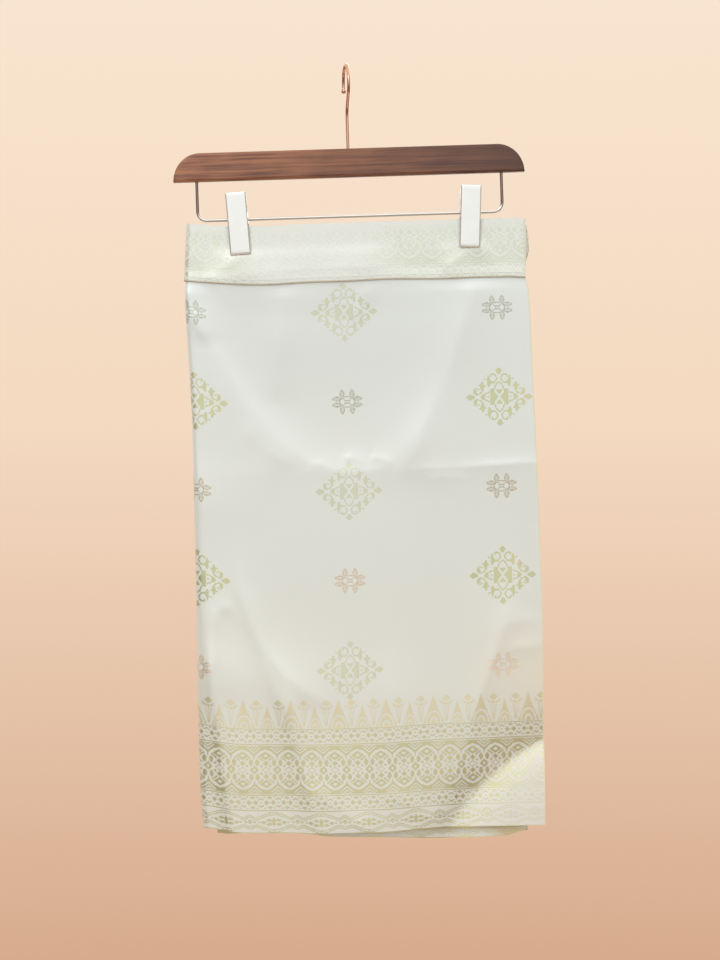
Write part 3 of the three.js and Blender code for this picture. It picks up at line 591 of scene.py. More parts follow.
def gold_strength(pattern, kind):
    """How strongly the gold shows, from 0 to 1, paled in places as painted sheen."""
    s, h = pattern["s"], pattern["h"]
    weft = ripple(h, WEAVE["weft"]) * 0.14 + 0.8
    # Painted sheen: the gold is paled to each side of the middle column of motifs.
    middle = (1 - (s - COLUMN_START - COLUMN_PITCH).math("ABSOLUTE") / PALE_MIDDLE["reach"]).clamped()
    motifs = (1 - pattern["border"]) * (1 - pattern["small"])
    strength = pattern["gold"] * weft * CLOTH_TONES[kind]["gold"]
    strength = strength * (1 - middle * motifs * PALE_MIDDLE["share"]) * (1 - pattern["shoots"] * 0.4)
    if kind == "right":
        # Painted sheen: the gold is paled at the free edge's lower corner.
        corner = (1 - (s / PALE_CORNER["wide"] + h / PALE_CORNER["tall"])).clamped()
        strength = strength * (1 - (corner * 3).clamped() * PALE_CORNER["share"])
    if kind == "band":
        # Painted sheen: the gold is paled along a stretch of the waistband.
        band_sheen = ((s - PAINTED_BAND_SHEEN["from"]) / PAINTED_BAND_SHEEN["rise"]).clamped()
        band_sheen = band_sheen * ((PAINTED_BAND_SHEEN["to"] - s) / PAINTED_BAND_SHEEN["fall"]).clamped()
        # Painted highlight: no gold in the waistband's top 3 mm, and only fading in over the next 8 mm, where
        # its turn over the top edge catches the light.
        from_top = BAND_CHART_TOP - h
        strength = strength * (1 - band_sheen * PAINTED_BAND_SHEEN["share"]) * ((from_top - 3) / 8).clamped()
    return strength


def shaded_hem(tree, pattern, kind, color, yarn):
    """The colour with shade under the waistband's hem, or along the hem of the cloth's inner layers."""
    s, h = pattern["s"], pattern["h"]
    if kind == "band":
        hem = (BAND_CHART_TOP - BAND_HEIGHT + 1.0 - h).above(0) * (yarn * 1.3).clamped()
        return mix_colors(tree, hem, color, srgb(176, 156, 116))
    inner = (s - place_along(1.97)).above(0) * (place_along(3.0) - s).above(0)
    shaded = inner * ((h - HEM_SHADE["from"]) / 1.6).clamped() * ((HEM_SHADE["to"] - h) / 2).clamped()
    beside = (s - place_along(2.0) - HEM_SHADE["past_fold"]).math("ABSOLUTE")
    turned = (1 - beside / HEM_SHADE["half"]).clamped() * ((HEM_SHADE["to"] - h) / 3).clamped()
    return mix_colors(tree, (shaded * 0.6 + turned * 1.3).clamped() * 0.55, color, srgb(204, 174, 108))


def songket_material(name, kind="right"):
    """Off-white satin with gold thread: a satin ground, a metallic supplementary weft, a fine rib.

    kind is the right side, the wrong side, where the gold shows less, or the waistband, pressed and paler.
    """
    made, tree, shader = new_material(name)
    pattern = songket_pattern(tree)
    s, h = pattern["s"], pattern["h"]
    flat = combine(tree, s, h, 0.0)
    strength = gold_strength(pattern, kind)
    ground, thread = ground_color(tree, pattern, kind, flat), thread_color(tree, pattern, kind, flat)
    color = mix_colors(tree, strength, ground, thread)
    yarn = noise_field(tree, combine(tree, s * 0.25, h * 2.2, 0.0), 1.0, 2.0)
    color = mix_colors(tree, (yarn - 0.4).clamped() * 0.18, color, srgb(206, 204, 190))
    selvage = s.below(SELVAGE)
    color = mix_colors(tree, selvage * 0.7, color, srgb(232, 226, 186))
    color = shaded_hem(tree, pattern, kind, color, yarn)
    relief = ripple(h, WEAVE["rib"]) * 0.5 + ripple(s, WEAVE["crossing"]) * 0.3 + pattern["gold"] * 1.6
    add_bump(tree, shader, relief, 0.00005, 0.4)
    set_shader(tree, shader, Base_Color=color, Roughness=0.34 + yarn * 0.06,
               Metallic=(strength * 0.8 + 0.16) * (1 - selvage))
    set_shader(tree, shader, Sheen_Weight=0.2, Sheen_Roughness=0.4, Specular_IOR_Level=0.8, Anisotropic=0.3)
    return made


def darker(color, share):
    return tuple(share * c for c in color[:3]) + (1,)


def grainy_material(name, scale, detail, colors, roughness, bump, sheen=0.0):
    """A dull material whose grain varies its colour, its gloss and its surface."""
    made, tree, shader = new_material(name)
    place = add_node(tree, "ShaderNodeTexCoord").outputs["Object"]
    grain = noise_field(tree, place, scale, detail)
    set_shader(tree, shader, Base_Color=mix_colors(tree, grain, *colors), Roughness=roughness + grain * 0.1,
               Sheen_Weight=sheen)
    add_bump(tree, shader, grain, *bump)
    return made


def wood_material():
    """Dark red-brown lacquered wood, its grain along the bar, with fine pores, and painted shade that darkens
    it towards the right.
    """
    made, tree, shader = new_material("walnut_lacquer")
    spot = add_node(tree, "ShaderNodeAttribute", attribute_name="hanger_place")
    u, y, w = split_vector(tree, spot.outputs["Vector"])
    waver = noise_field(tree, combine(tree, u * 6, y * 6, w * 20), 1.0, 2.0)
    streaks = noise_field(tree, combine(tree, u * 9, y * 90, w * 420 + waver * 1.5), 1.0, 5.0, 0.6)
    figure = noise_field(tree, combine(tree, u * 26, y * 20, w * 60), 1.0, 3.0)
    pores = noise_field(tree, combine(tree, u * 90, y * 1500, w * 1900), 1.0, 2.0)
    tone = ((streaks - 0.5) * 3.2 + (figure - 0.5) * 1.0 + 0.5).clamped()
    color = mix_colors(tree, tone, srgb(98, 49, 30), srgb(182, 117, 76))
    # Painted shade: the wood darkens towards the bar's right end, as if lit from the left.
    across = ((u + 0.18) / 0.36).clamped()
    color = mix_colors(tree, across * 0.9, color, srgb(72, 34, 21))
    color = mix_colors(tree, (pores - 0.62).clamped() * 2.2, color, srgb(70, 40, 32))
    set_shader(tree, shader, Base_Color=color, Roughness=0.36 + streaks * 0.12)
    set_shader(tree, shader, Coat_Weight=0.2, Coat_Roughness=0.22)
    add_bump(tree, shader, streaks + pores * 0.6, 0.00012, 0.5)
    return made


# Painted reflection: the rail's legs are tinted brown for the brown surroundings they would mirror.
RAIL_LEG_REFLECTION = {"from": -0.1462, "fade": 0.005, "color": srgb(122, 97, 87)}  # metres: above here the legs get a painted brown reflection


def metal_material(name, colors, roughness, smudge=0.08, scratch=0.04, legs=None):
    """Polished plating with faint drawn lines and smudges that vary its gloss, and on the rail's legs a
    painted brown reflection.
    """
    made, tree, shader = new_material(name)
    place = add_node(tree, "ShaderNodeTexCoord").outputs["Object"]
    blotch = noise_field(tree, place, 140.0, 3.0)
    fine = noise_field(tree, place, 2600.0, 2.0)
    color = mix_colors(tree, blotch * 0.35, *colors)
    if legs:
        # Painted reflection: the legs are tinted brown for the brown surroundings they would mirror.
        x, _, z = split_vector(tree, place)
        above = ((z - x * math.tan(TILT) - legs["from"]) / legs["fade"]).clamped()
        color = mix_colors(tree, above * 0.9, color, legs["color"])
    set_shader(tree, shader, Metallic=1.0, Base_Color=color,
               Roughness=roughness + (blotch - 0.5) * smudge + (fine - 0.5) * scratch)
    add_bump(tree, shader, fine, 0.00002, 0.35)
    return made


# ---- meshes ----

TO_WORLD = Matrix.Rotation(-TILT, 4, "Y") @ Matrix.Scale(MM, 4)


def make_object(name, points, faces, material, smooth=True, transform=TO_WORLD, keep_place=False):
    """A mesh object from points in the hanger's frame, in millimetres, riding on the one body."""
    points = np.asarray(points, float)
    turned = points @ np.array(transform.to_3x3()).T + np.array(transform.translation)
    mesh = bpy.data.meshes.new(name)
    mesh.from_pydata(turned.tolist(), [], faces)
    mesh.update()
    mesh.validate()
    if smooth:
        mesh.polygons.foreach_set("use_smooth", [True] * len(mesh.polygons))
    if keep_place:
        place = mesh.attributes.new("hanger_place", "FLOAT_VECTOR", "POINT")
        place.data.foreach_set("vector", (points * MM).ravel())
    for each in material if isinstance(material, (list, tuple)) else [material]:
        mesh.materials.append(each)
    made = bpy.data.objects.new(name, mesh)
    bpy.context.scene.collection.objects.link(made)
    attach(made, "root")
    return made


def ring_faces(rings, sides, capped=True):
    """Faces between rings of points, and over the first and last ring."""
    faces = []
    for i in range(rings - 1):
        for k in range(sides):
            a, b = i * sides + k, i * sides + (k + 1) % sides
            faces.append((a, b, b + sides, a + sides))
    if capped:
        faces.append(tuple(reversed(range(sides))))
        faces.append(tuple(range((rings - 1) * sides, rings * sides)))
    return faces


def shell_faces(rows, columns):
    """Faces of a closed shell between two grids of points: its outside, its inside and its rim."""
    size = rows * columns
    index = np.arange(size).reshape(rows, columns)
    a, b, c, d = index[:-1, :-1], index[1:, :-1], index[1:, 1:], index[:-1, 1:]
    outside = np.stack([a, b, c, d], -1).reshape(-1, 4)
    inside = np.stack([d, c, b, a], -1).reshape(-1, 4) + size
    loop = [*index[0, :], *index[1:, -1], *index[-1, -2::-1], *index[-2:0:-1, 0]]
    rim = [(i, j, j + size, i + size) for i, j in zip(loop, loop[1:] + loop[:1])]
    return outside.tolist(), inside.tolist(), rim


def tube(points, radius, sides=20):
    """Points and faces of a round wire along a line, with rounded-off ends."""
    points = [Vector(p) for p in points]
    count = len(points)
    tangents = [(points[min(i + 1, count - 1)] - points[max(i - 1, 0)]).normalized() for i in range(count)]
    side = Vector((0, 1, 0)) if abs(tangents[0].y) < 0.9 else Vector((1, 0, 0))
    around = []
    ends = [(points[0] - tangents[0] * radius * k, tangents[0], math.sqrt(1 - k * k)) for k in (0.8, 0.45)]
    tail = [(points[-1] + tangents[-1] * radius * k, tangents[-1], math.sqrt(1 - k * k)) for k in (0.45, 0.8)]
    for point, tangent, shrink in ends + [(p, t, 1.0) for p, t in zip(points, tangents)] + tail:
        side = (side - tangent * side.dot(tangent)).normalized()
        up = tangent.cross(side)
        for k in range(sides):
            angle = 2 * math.pi * k / sides
            around.append(point + (side * math.cos(angle) + up * math.sin(angle)) * radius * shrink)
    return [tuple(p) for p in around], ring_faces(len(around) // sides, sides)


def merge_parts(parts):
    """One list of points and faces from several."""
    points, faces = [], []
    for part_points, part_faces in parts:
        start = len(points)
        points.extend(part_points)
        faces.extend(tuple(i + start for i in face) for face in part_faces)
    return points, faces


def arc(centre, radius, start, end, steps):
    """Points (a, b) round a circle, in degrees."""
    angles = np.radians(np.linspace(start, end, steps + 1))
    return [(centre[0] + radius * math.cos(a), centre[1] + radius * math.sin(a)) for a in angles]


def bezier(p0, p1, p2, p3, steps):
    points = []
    for t in np.linspace(0, 1, steps + 1):
        weights = ((1 - t) ** 3, 3 * t * (1 - t) ** 2, 3 * t * t * (1 - t), t ** 3)
        points.append(tuple(sum(w * p[k] for w, p in zip(weights, (p0, p1, p2, p3))) for k in range(2)))
    return points


# ---- the folded sheet ----

class Table:
    """Rows of numbers with named columns, read on a smooth curve that never overshoots its rows."""

    def __init__(self, columns, rows):
        values = np.array(rows, float)
        self.key = values[:, 0]
        self.columns = {name: values[:, i] for i, name in enumerate(columns)}

    def at(self, key, column):
        x, y = self.key, self.columns[column]
        i = int(np.clip(np.searchsorted(x, key, "right") - 1, 0, len(x) - 2))
        slopes = np.diff(y) / np.diff(x)
        def tangent(k):
            if k == 0:
                return slopes[0]
            if k == len(x) - 1:
                return slopes[-1]
            left, right = slopes[k - 1], slopes[k]
            return 2 * left * right / (left + right) if left * right > 0 else 0.0
        span = x[i + 1] - x[i]
        t = np.clip((key - x[i]) / span, 0, 1)
        return ((2 * t ** 3 - 3 * t ** 2 + 1) * y[i] + (t ** 3 - 2 * t ** 2 + t) * span * tangent(i)
                + (3 * t ** 2 - 2 * t ** 3) * y[i + 1] + (t ** 3 - t ** 2) * span * tangent(i + 1))


LEVEL_TABLE = Table(LEVEL_COLUMNS, LEVELS)
EDGE_TABLE = Table(EDGE_COLUMNS, EDGES)


def smoothstep(t):
    c = np.clip(t, 0, 1)
    return c * c * (3 - 2 * c)


def named(columns, rows):
    return [dict(zip(columns, values)) for values in rows]


def along_line(u, drop, row):
    """How far a place lies along a crease's bowed line, from 0 to 1, and how far beside it."""
    du, dd = row["to_u"] - row["from_u"], row["to_drop"] - row["from_drop"]
    length = math.hypot(du, dd)
    t = ((u - row["from_u"]) * du + (drop - row["from_drop"]) * dd) / length ** 2
    away = ((u - row["from_u"]) * dd - (drop - row["from_drop"]) * du) / length
    return t, away - 4 * row["bow"] * t * (1 - t)


def fold_height(u, drop, row, ends):
    t, away = along_line(u, drop, row)
    beside = np.where(away < 0, row["left"], row["right"])
    return row["high"] * ends(t) * np.exp(-(np.hypot(away, row["crisp"]) - row["crisp"]) / beside)


def hollow_depth(u, drop):
    depth = HOLLOW_DEEP
    for row in named(HOLLOW_COLUMNS, HOLLOW_EDGES):
        inside = row["side"] * along_line(u, drop, row)[1]
        depth = depth * (1 - np.exp(-(inside + np.hypot(inside, row["soft"])) / (2 * row["reach"])))
    return depth


def ridge_height(u, drop):
    def ends(t):
        return np.exp(-((np.maximum(abs(t - 0.5) - RIDGE_ENDS["full"], 0) / RIDGE_ENDS["fade"]) ** 2))
    ridges = sum(fold_height(u, drop, row, ends) for row in named(RIDGE_COLUMNS, RIDGES))
    return ridges - hollow_depth(u, drop)


def crease_height(u, drop, creases):
    """Creases fade out towards both ends, a little unevenly."""
    height = 0.0
    for row in named(RIDGE_COLUMNS, creases):
        def ends(t):
            uneven = 1 + 0.22 * np.sin(t * 9.0 + row["from_u"])
            return smoothstep((t + 0.12) / 0.3) * smoothstep((1.12 - t) / 0.3) * uneven
        height = height + fold_height(u, drop, row, ends)
    return height


def folded_columns(drop):
    """The sheet's line in plan at one level: arrays of u, y, along and the three shares."""
    at = {name: LEVEL_TABLE.at(drop, name) for name in LEVEL_COLUMNS[1:]}
    def fold(tip, to_right, near, far, bend):
        return {"tip": tip, "to_right": to_right, "bend": bend, "middle": (at[near] + at[far]) / 2,
                "centre": tip - bend if to_right else tip + bend}
    outer = fold(at["outer_fold"], False, "front", "back", at["outer_bend"])
    back = fold(at["back_fold"], True, "third", "back", at["back_bend"])
    inner = fold(at["inner_fold"], False, "second", "third", at["inner_bend"])
    line = []

    def layer(name, start_u, end_u, start_along, folds, skip_first=True):
        steps = LAYER_STEPS[name]
        for i in range(1 if skip_first else 0, steps + 1):
            u = start_u + (end_u - start_u) * i / steps
            y = at[name]
            for f in folds:
                side = 1 if at[name] > f["middle"] else -1
                near = 1 - smoothstep(abs(u - f["centre"]) / FOLD_REACH)
                y = y + (f["middle"] + side * f["bend"] - at[name]) * near
            line.append((u, y, start_along + i / steps, *LAYER_SHARES[name]))

    def turn(f, start_side, along, layer_in, layer_out):
        for i in range(1, FOLD_STEPS + 1):
            t = i / FOLD_STEPS
            angle = math.pi * t
            outwards = 1 if f["to_right"] else -1
            shares = [a + (b - a) * t for a, b in zip(LAYER_SHARES[layer_in], LAYER_SHARES[layer_out])]
            line.append((f["centre"] + outwards * f["bend"] * math.sin(angle),
                         f["middle"] + start_side * f["bend"] * math.cos(angle), along, *shares))

    layer("front", at["free_edge"], outer["centre"], 0, [outer], skip_first=False)
    turn(outer, -1, 1, "front", "back")
    layer("back", outer["centre"], back["centre"], 1, [outer, back])
    turn(back, 1, 2, "back", "third")
    layer("third", back["centre"], inner["centre"], 2, [back, inner])
    turn(inner, 1, 3, "third", "second")
    layer("second", inner["centre"], at["inner_edge"], 3, [inner])
    return np.array(line).T


def sheet_row(drop):
    """Points of the hanging sheet at one level, as an array of (u, y, w)."""
    u, y, along, ridge_share, front_share, back_share = folded_columns(drop)
    free = smoothstep((drop - BAND_HEIGHT) / RIDGE_EASE)
    free_crease = smoothstep((drop - BAND_HEIGHT) / CREASE_EASE)
    top_sag = np.array([EDGE_TABLE.at(a, "top") for a in along])
    hem_sag = np.array([EDGE_TABLE.at(a, "hem") for a in along])
    corner = np.maximum((CORNER_LIFT["from"] - u) / (CORNER_LIFT["from"] - CORNER_LIFT["to"]), 0)
    w = TOP + CORNER_LIFT["height"] * corner ** 2 - drop - (top_sag + (hem_sag - top_sag) * drop / LENGTH)
    y = y - ridge_share * free * ridge_height(u, drop)
    y = y - front_share * free_crease * crease_height(u, drop, FRONT_CREASES)
    pressed = smoothstep((drop - PUCKERS["from"]) / PUCKERS["rise"])
    pressed = pressed * smoothstep((PUCKERS["to"] - drop) / PUCKERS["fall"])
    y = y - front_share * pressed * crease_height(u, drop, BAND_CREASES)
    y = y + back_share * free_crease * crease_height(u, drop, BACK_CREASES)
    return np.stack([u, y, w], axis=1)


def flat_places():
    """Each column's distance along the cloth from its free edge, in millimetres, measured at mid height."""
    u, y = folded_columns(MIDDLE_DROP)[:2]
    return np.concatenate([[0], np.cumsum(np.hypot(np.diff(u), np.diff(y)))])


FLAT = flat_places()


def row_drops(start, end, spacing, fine=()):
    drops = [start]
    while drops[-1] < end - 0.4 * spacing:
        step = min([spacing] + [f[2] for f in fine if f[0] <= drops[-1] < f[1]])
        drops.append(drops[-1] + step)
    drops[-1] = end
    return drops


def grid_normals(grid):
    """Unit normals of a grid of points, towards the cloth's right side."""
    across = np.gradient(grid, axis=1)
    down = np.gradient(grid, axis=0)
    normal = np.cross(across, down)
    return normal / np.linalg.norm(normal, axis=2, keepdims=True)


def shell_from_grids(name, outside, inside, flat_u, flat_v, materials, wrong_slot=1):
    """A closed shell between two grids of points, with flat places as its UV map named cloth."""
    points = np.concatenate([outside.reshape(-1, 3), inside.reshape(-1, 3)])
    front, back, rim = shell_faces(*outside.shape[:2])
    made = make_object(name, points, front + back + rim, materials)
    slots = np.zeros(len(made.data.polygons), np.int32)
    slots[len(front): len(front) + len(back)] = wrong_slot
    made.data.polygons.foreach_set("material_index", slots)
    places = np.stack(np.broadcast_arrays(flat_u * MM, flat_v * MM), -1).reshape(-1, 2)
    places = np.concatenate([places, places])
    shade_by_angle(made, 50)
    corners = np.zeros(len(made.data.loops), np.int32)
    made.data.loops.foreach_get("vertex_index", corners)
    layer = made.data.uv_layers.new(name="cloth")
    layer.data.foreach_set("uv", places[corners].astype(np.float32).ravel())
    return made


def body_cloth(materials):
    drops = row_drops(2.0, LENGTH, ROW_SPACING, FINE_ROWS)
    grid = np.stack([sheet_row(drop) for drop in drops])
    right = grid_normals(grid)
    flat_v = (LENGTH - np.array(drops))[:, None]
    made = shell_from_grids("samping_body", grid + right * CLOTH_WALL / 2, grid - right * CLOTH_WALL / 2,
                            FLAT[None, :], flat_v, materials)
    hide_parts("body_cloth")
    return made


def band_edge(flat):
    """How far the waistband's lower edge strays from straight, in millimetres."""
    return 0.45 * np.sin(flat / 31.0) + 0.3 * np.sin(flat / 13.7 + 1.2)


def waistband(materials):
    """The outer ply: it turns over the cloth's top edge, lies down its right side and is hemmed below."""
    rows = np.linspace(0, BAND_HEIGHT, BAND["rows"] + 1)
    grid = np.stack([sheet_row(drop) for drop in rows])
    flat_row = sheet_row(BAND_HEIGHT / 2)
    right = np.zeros_like(flat_row)
    tangent = np.gradient(flat_row, axis=0)
    right[:, 0], right[:, 1] = -tangent[:, 1], tangent[:, 0]
    right /= np.linalg.norm(right, axis=1, keepdims=True)
    down_share = (rows / BAND_HEIGHT)[:, None]
    grid[:, :, 2] -= down_share ** 2 * band_edge(FLAT)[None, :]
    # The hem swells over its last rows, and the ply waves a little below its middle.
    swell = BAND["hem_puff"] * smoothstep((rows - 46) / 9)[:, None, None]
    wave = 0.16 * np.sin(FLAT / 9.3)[None, :, None] * smoothstep((rows - 30) / 25)[:, None, None]
    inner = grid + right[None] * BAND["inside"]
    outer = grid + right[None] * (BAND["inside"] + BAND["wall"] + swell + wave)
    turned = []
    reach = BAND["inside"] + BAND["wall"]
    back_reach = -CLOTH_WALL / 2 - BAND["behind"]
    middle, half = (reach + back_reach) / 2, (reach - back_reach) / 2
    for angle in np.radians([150, 120, 90, 60, 30]):
        ring = grid[0] + right * (middle + half * math.cos(angle))
        ring[:, 2] += BAND["turn"] * math.sin(angle) - BAND["turn"]
        turned.append(ring)
    under = grid[0] + right * back_reach
    under[:, 2] -= BAND["tuck"]
    hem_round = grid[-1] + right * (BAND["inside"] + (BAND["wall"] + BAND["hem_puff"]) * 0.5)
    hem_round[:, 2] -= 0.45
    strip = [under] + turned + list(outer) + [hem_round]
    lining = [under + right * 0.3] + [grid[0] + right * back_reach * 0.2 + np.array([0, 0, -1.9])] * 5
    lining += list(inner) + [hem_round - right * 0.25 + np.array([0, 0, 0.25])]
    heights = [-BAND["tuck"]] + [-1.0] * 5 + list(rows) + [BAND_HEIGHT + 0.5]
    flat_v = (BAND_CHART_TOP - np.array(heights))[:, None]
    made = shell_from_grids("samping_waistband", np.array(strip), np.array(lining), FLAT[None, :], flat_v,
                            materials, wrong_slot=0)
    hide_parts("waistband")
    return made, outer


STITCH = {"radius": 0.2, "long": 2.1, "pitch": 3.1, "margin": 2.0}
END_STITCH = {"slant": (1.5, 0.9), "pitch": 2.2, "margin": 1.5, "inset": 1.6}


def stitch_run(places, directions, outwards):
    """Short rounded stitches, each lying on the cloth along its own direction."""
    parts = []
    for place, direction, out in zip(places, directions, outwards):
        ends = [place - direction * 0.5 - out * 0.12, place + out * 0.1, place + direction * 0.5 - out * 0.12]
        parts.append(tube(ends, STITCH["radius"], 6))
    return merge_parts(parts)


def sample(keys, points, at):
    """Points along a line, read where their keys reach the given values."""
    return np.stack([np.interp(at, keys, points[:, k]) for k in range(3)], 1)


def band_stitching(outer, material):
    """Topstitching along the waistband's hem and up its free end."""
    row = outer[-3]
    tangent = np.gradient(row, axis=0)
    lengths = np.concatenate([[0], np.cumsum(np.linalg.norm(np.diff(row, axis=0), axis=1))])
    stops = np.arange(STITCH["margin"], lengths[-1] - STITCH["margin"], STITCH["pitch"])
    way = sample(lengths, tangent, stops)
    way /= np.linalg.norm(way, axis=1, keepdims=True)
    out = np.stack([-way[:, 1], way[:, 0], np.zeros(len(way))], 1)
    seam = (sample(lengths, row, stops), way * STITCH["long"], out)
    hem = stitch_run(*([Vector(p) for p in each] for each in seam))
    column = outer[:, 0] + np.array([-END_STITCH["inset"], 0, 0])
    steps = np.arange(END_STITCH["margin"], BAND_HEIGHT - END_STITCH["margin"], END_STITCH["pitch"])
    places = [Vector(p) for p in sample(np.linspace(0, BAND_HEIGHT, len(column)), column, steps)]
    across, up = END_STITCH["slant"]
    slant = [Vector((across, 0, up if i % 2 else -up)) for i in range(len(places))]
    end = stitch_run(places, slant, [Vector((0, -1, 0))] * len(places))
    made = make_object("band_stitching", *merge_parts([hem, end]), material)
    return made


# ---- the hanger ----

HOOK = {"wire": 3.4, "bend": 19, "shank_top": -52, "yaw": 8, "ball": 5.2, "sunk": 12, "from": 214, "to": -13}
BAR = {"length": 351, "height": 28.3, "depth": 12, "top": -82.3, "shoulder": 27, "edge": 2.4}
RAIL = {"wire": 3.2, "span": 304.6, "drop": 38.9, "corner": 9, "sunk": 8}
CLIP = {"width": 20.4, "above": 26.5, "below": 35.5, "plate": 1.2, "splay": 2.1, "lean": 3.2, "crown": 0.25,
        "rim": 0.75}
CLIP_AT = {"left": -112.3, "right": 120.1}
STACK = 5.9  # half of what the jaws hold, cloth and waistband
GRIP = STACK + 0.3 + 1.5 + 0.3  # the plates' inner face at the jaw: a gap, the pad and its seat
EAR = {"thick": 1.0, "inset": 1.3, "eye": 4.6, "hole": 2.6, "from": -5.6, "to": 8}
SPRING = {"turns": 5.5, "wire": 1.1, "radius": 2.85, "steps": 26, "leg": 17.0, "leg_out": 6.2}
PAD = {"from": 0.35, "to": 12, "near": 0.32, "far": 2.05, "ribs": 6, "rib": 0.28, "bevel": 0.3}
BAR_BOTTOM = BAR["top"] - BAR["height"]
RAIL_LEVEL = BAR_BOTTOM - RAIL["drop"]


def hook(material):
    """Wire that rises from the bar and bends round the place where it bears, with a ball on its end."""
    centre = HOOK["wire"] / 2 - HOOK["bend"]
    loop = arc((0, centre), HOOK["bend"], HOOK["from"], HOOK["to"], 72)
    start = (0, HOOK["shank_top"])
    sweep = bezier(start, (0, start[1] + 11), (-7.5, centre - 19.5), loop[0], 20)
    shank = [(0, z) for z in np.linspace(BAR["top"] - HOOK["sunk"], HOOK["shank_top"], 8)]
    yaw = math.radians(HOOK["yaw"])
    line = [(-y * math.sin(yaw), y * math.cos(yaw), z) for y, z in shank + sweep[1:-1] + loop]
    tip = Vector(line[-1])
    ball = []
    rings, sides = 12, 20
    for i in range(rings + 1):
        angle = math.pi * (i + 0.001) / (rings + 0.002)
        for k in range(sides):
            turn = 2 * math.pi * k / sides
            level = (math.sin(angle) * math.cos(turn), math.sin(angle) * math.sin(turn))
            ball.append(tuple(tip + Vector((*level, math.cos(angle))) * HOOK["ball"] / 2))
    ball_faces = [face[::-1] for face in ring_faces(rings + 1, sides, capped=False)]
    points, faces = merge_parts([tube(line, HOOK["wire"] / 2), (ball, ball_faces)])
    made = make_object("hanger_hook", points, faces, material)
    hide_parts("hook")


def hanger_bar(material):
    """A board with rounded shoulders, its long edges rounded over."""
    half, bottom = BAR["length"] / 2, BAR_BOTTOM
    right = [(half - BAR["shoulder"] + BAR["shoulder"] * math.cos(a), bottom + BAR["height"] * math.sin(a))
             for a in np.radians(np.linspace(0, 90, 19))]
    top = [(u, BAR["top"]) for u in np.linspace(half - BAR["shoulder"], -half + BAR["shoulder"], 21)[1:-1]]
    left = [(-u, w) for u, w in reversed(right)]
    base = [(u, bottom) for u in np.linspace(-half, half, 25)[1:-1]]
    outline = np.array(right + top + left + base)
    tangent = np.roll(outline, -1, 0) - np.roll(outline, 1, 0)
    tangent /= np.linalg.norm(tangent, axis=1, keepdims=True)
    outwards = np.stack([tangent[:, 1], -tangent[:, 0]], 1)
    rings = []
    edge, deep = BAR["edge"], BAR["depth"] / 2
    profile = [(edge * (1 - math.cos(a)), deep - edge * (1 - math.sin(a)))
               for a in np.radians(np.linspace(0, 90, 7))]
    section = [(inset, -y) for inset, y in reversed(profile)] + profile
    for inset, y in section:
        ring = outline - outwards * inset
        rings.append(np.stack([ring[:, 0], np.full(len(ring), y), ring[:, 1]], 1))
    faces = ring_faces(len(rings), len(outline))
    made = make_object("hanger_bar_wood", np.concatenate(rings), faces, material, keep_place=True)
    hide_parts("hanger_bar")


def clip_rail(material):
    half, bend = RAIL["span"] / 2, RAIL["corner"]
    leg_top = BAR_BOTTOM + RAIL["sunk"]
    left = arc((-half + bend, RAIL_LEVEL + bend), bend, 180, 270, 14)
    right = arc((half - bend, RAIL_LEVEL + bend), bend, 270, 360, 14)
    legs = np.linspace(leg_top, RAIL_LEVEL + bend, 6)
    span = np.linspace(left[-1][0], right[0][0], 24)[1:-1]
    line = [(-half, w) for w in legs[:-1]] + left + [(u, RAIL_LEVEL) for u in span] + right
    line += [(half, w) for w in legs[::-1][1:]]
    made = make_object("hanger_clip_rail", *tube([(u, 0, w) for u, w in line], RAIL["wire"] / 2), material)
    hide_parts("clip_rail")


def clip_frame(side):
    """From a clip's own frame, about the rail's axis, to the world."""
    lean = math.radians(-CLIP["lean"] if side == "left" else CLIP["lean"])
    place = Matrix.Translation((CLIP_AT[side], 0, RAIL_LEVEL))
    return TO_WORLD @ place @ Matrix.Rotation(lean, 4, "Y")


def pressed_plate(front):
    """A sheet-metal plate that splays from the jaw, crowned a little and rounded at its rims, with two ears
    round the rail.
    """
    slope = CLIP["splay"] / (CLIP["above"] + CLIP["below"])
    half = CLIP["width"] / 2
    side = np.array([1, 0.98, 0.955, 0.92, 0.88, 0.7, 0.35])
    columns = np.concatenate([-side, [0], side[::-1]]) * half
    rim = np.array([0, 0.25, 0.55, 0.9, 1.3])
    levels = np.concatenate([rim - CLIP["below"], np.linspace(4 - CLIP["below"], CLIP["above"] - 4, 16),
                             CLIP["above"] - rim[::-1]])
    def surface(outer):
        grid = np.zeros((len(levels), len(columns), 3))
        for i, z in enumerate(levels):
            near_end = min(z + CLIP["below"], CLIP["above"] - z)
            for j, x in enumerate(columns):
                near_side = half - abs(x)
                corner = max(0.0, 1.2 - near_end) * max(0.0, 1.2 - near_side)
                soft = CLIP["rim"] * max(0.0, 1 - min(near_side, near_end) / 1.1) ** 1.6
                y = GRIP + (z + CLIP["below"]) * slope + CLIP["crown"] * (1 - (x / half) ** 2)
                y += (CLIP["plate"] - soft) if outer else 0.0
                grid[i, j] = (x * (1 - 0.02 * corner), y, z)
        return grid
    outside, inside, rim = shell_faces(len(levels), len(columns))
    points = np.concatenate([surface(True).reshape(-1, 3), surface(False).reshape(-1, 3)])
    parts = [(points.tolist(), outside + inside + rim)]
    outer_x = half - (0 if front else EAR["inset"])
    for x in (outer_x - EAR["thick"], -outer_x):
        parts.append(ear_plate(x, x + EAR["thick"], slope))
    points, faces = merge_parts(parts)
    if front:
        points = [(-x, -y, z) for x, y, z in points]
    return points, faces


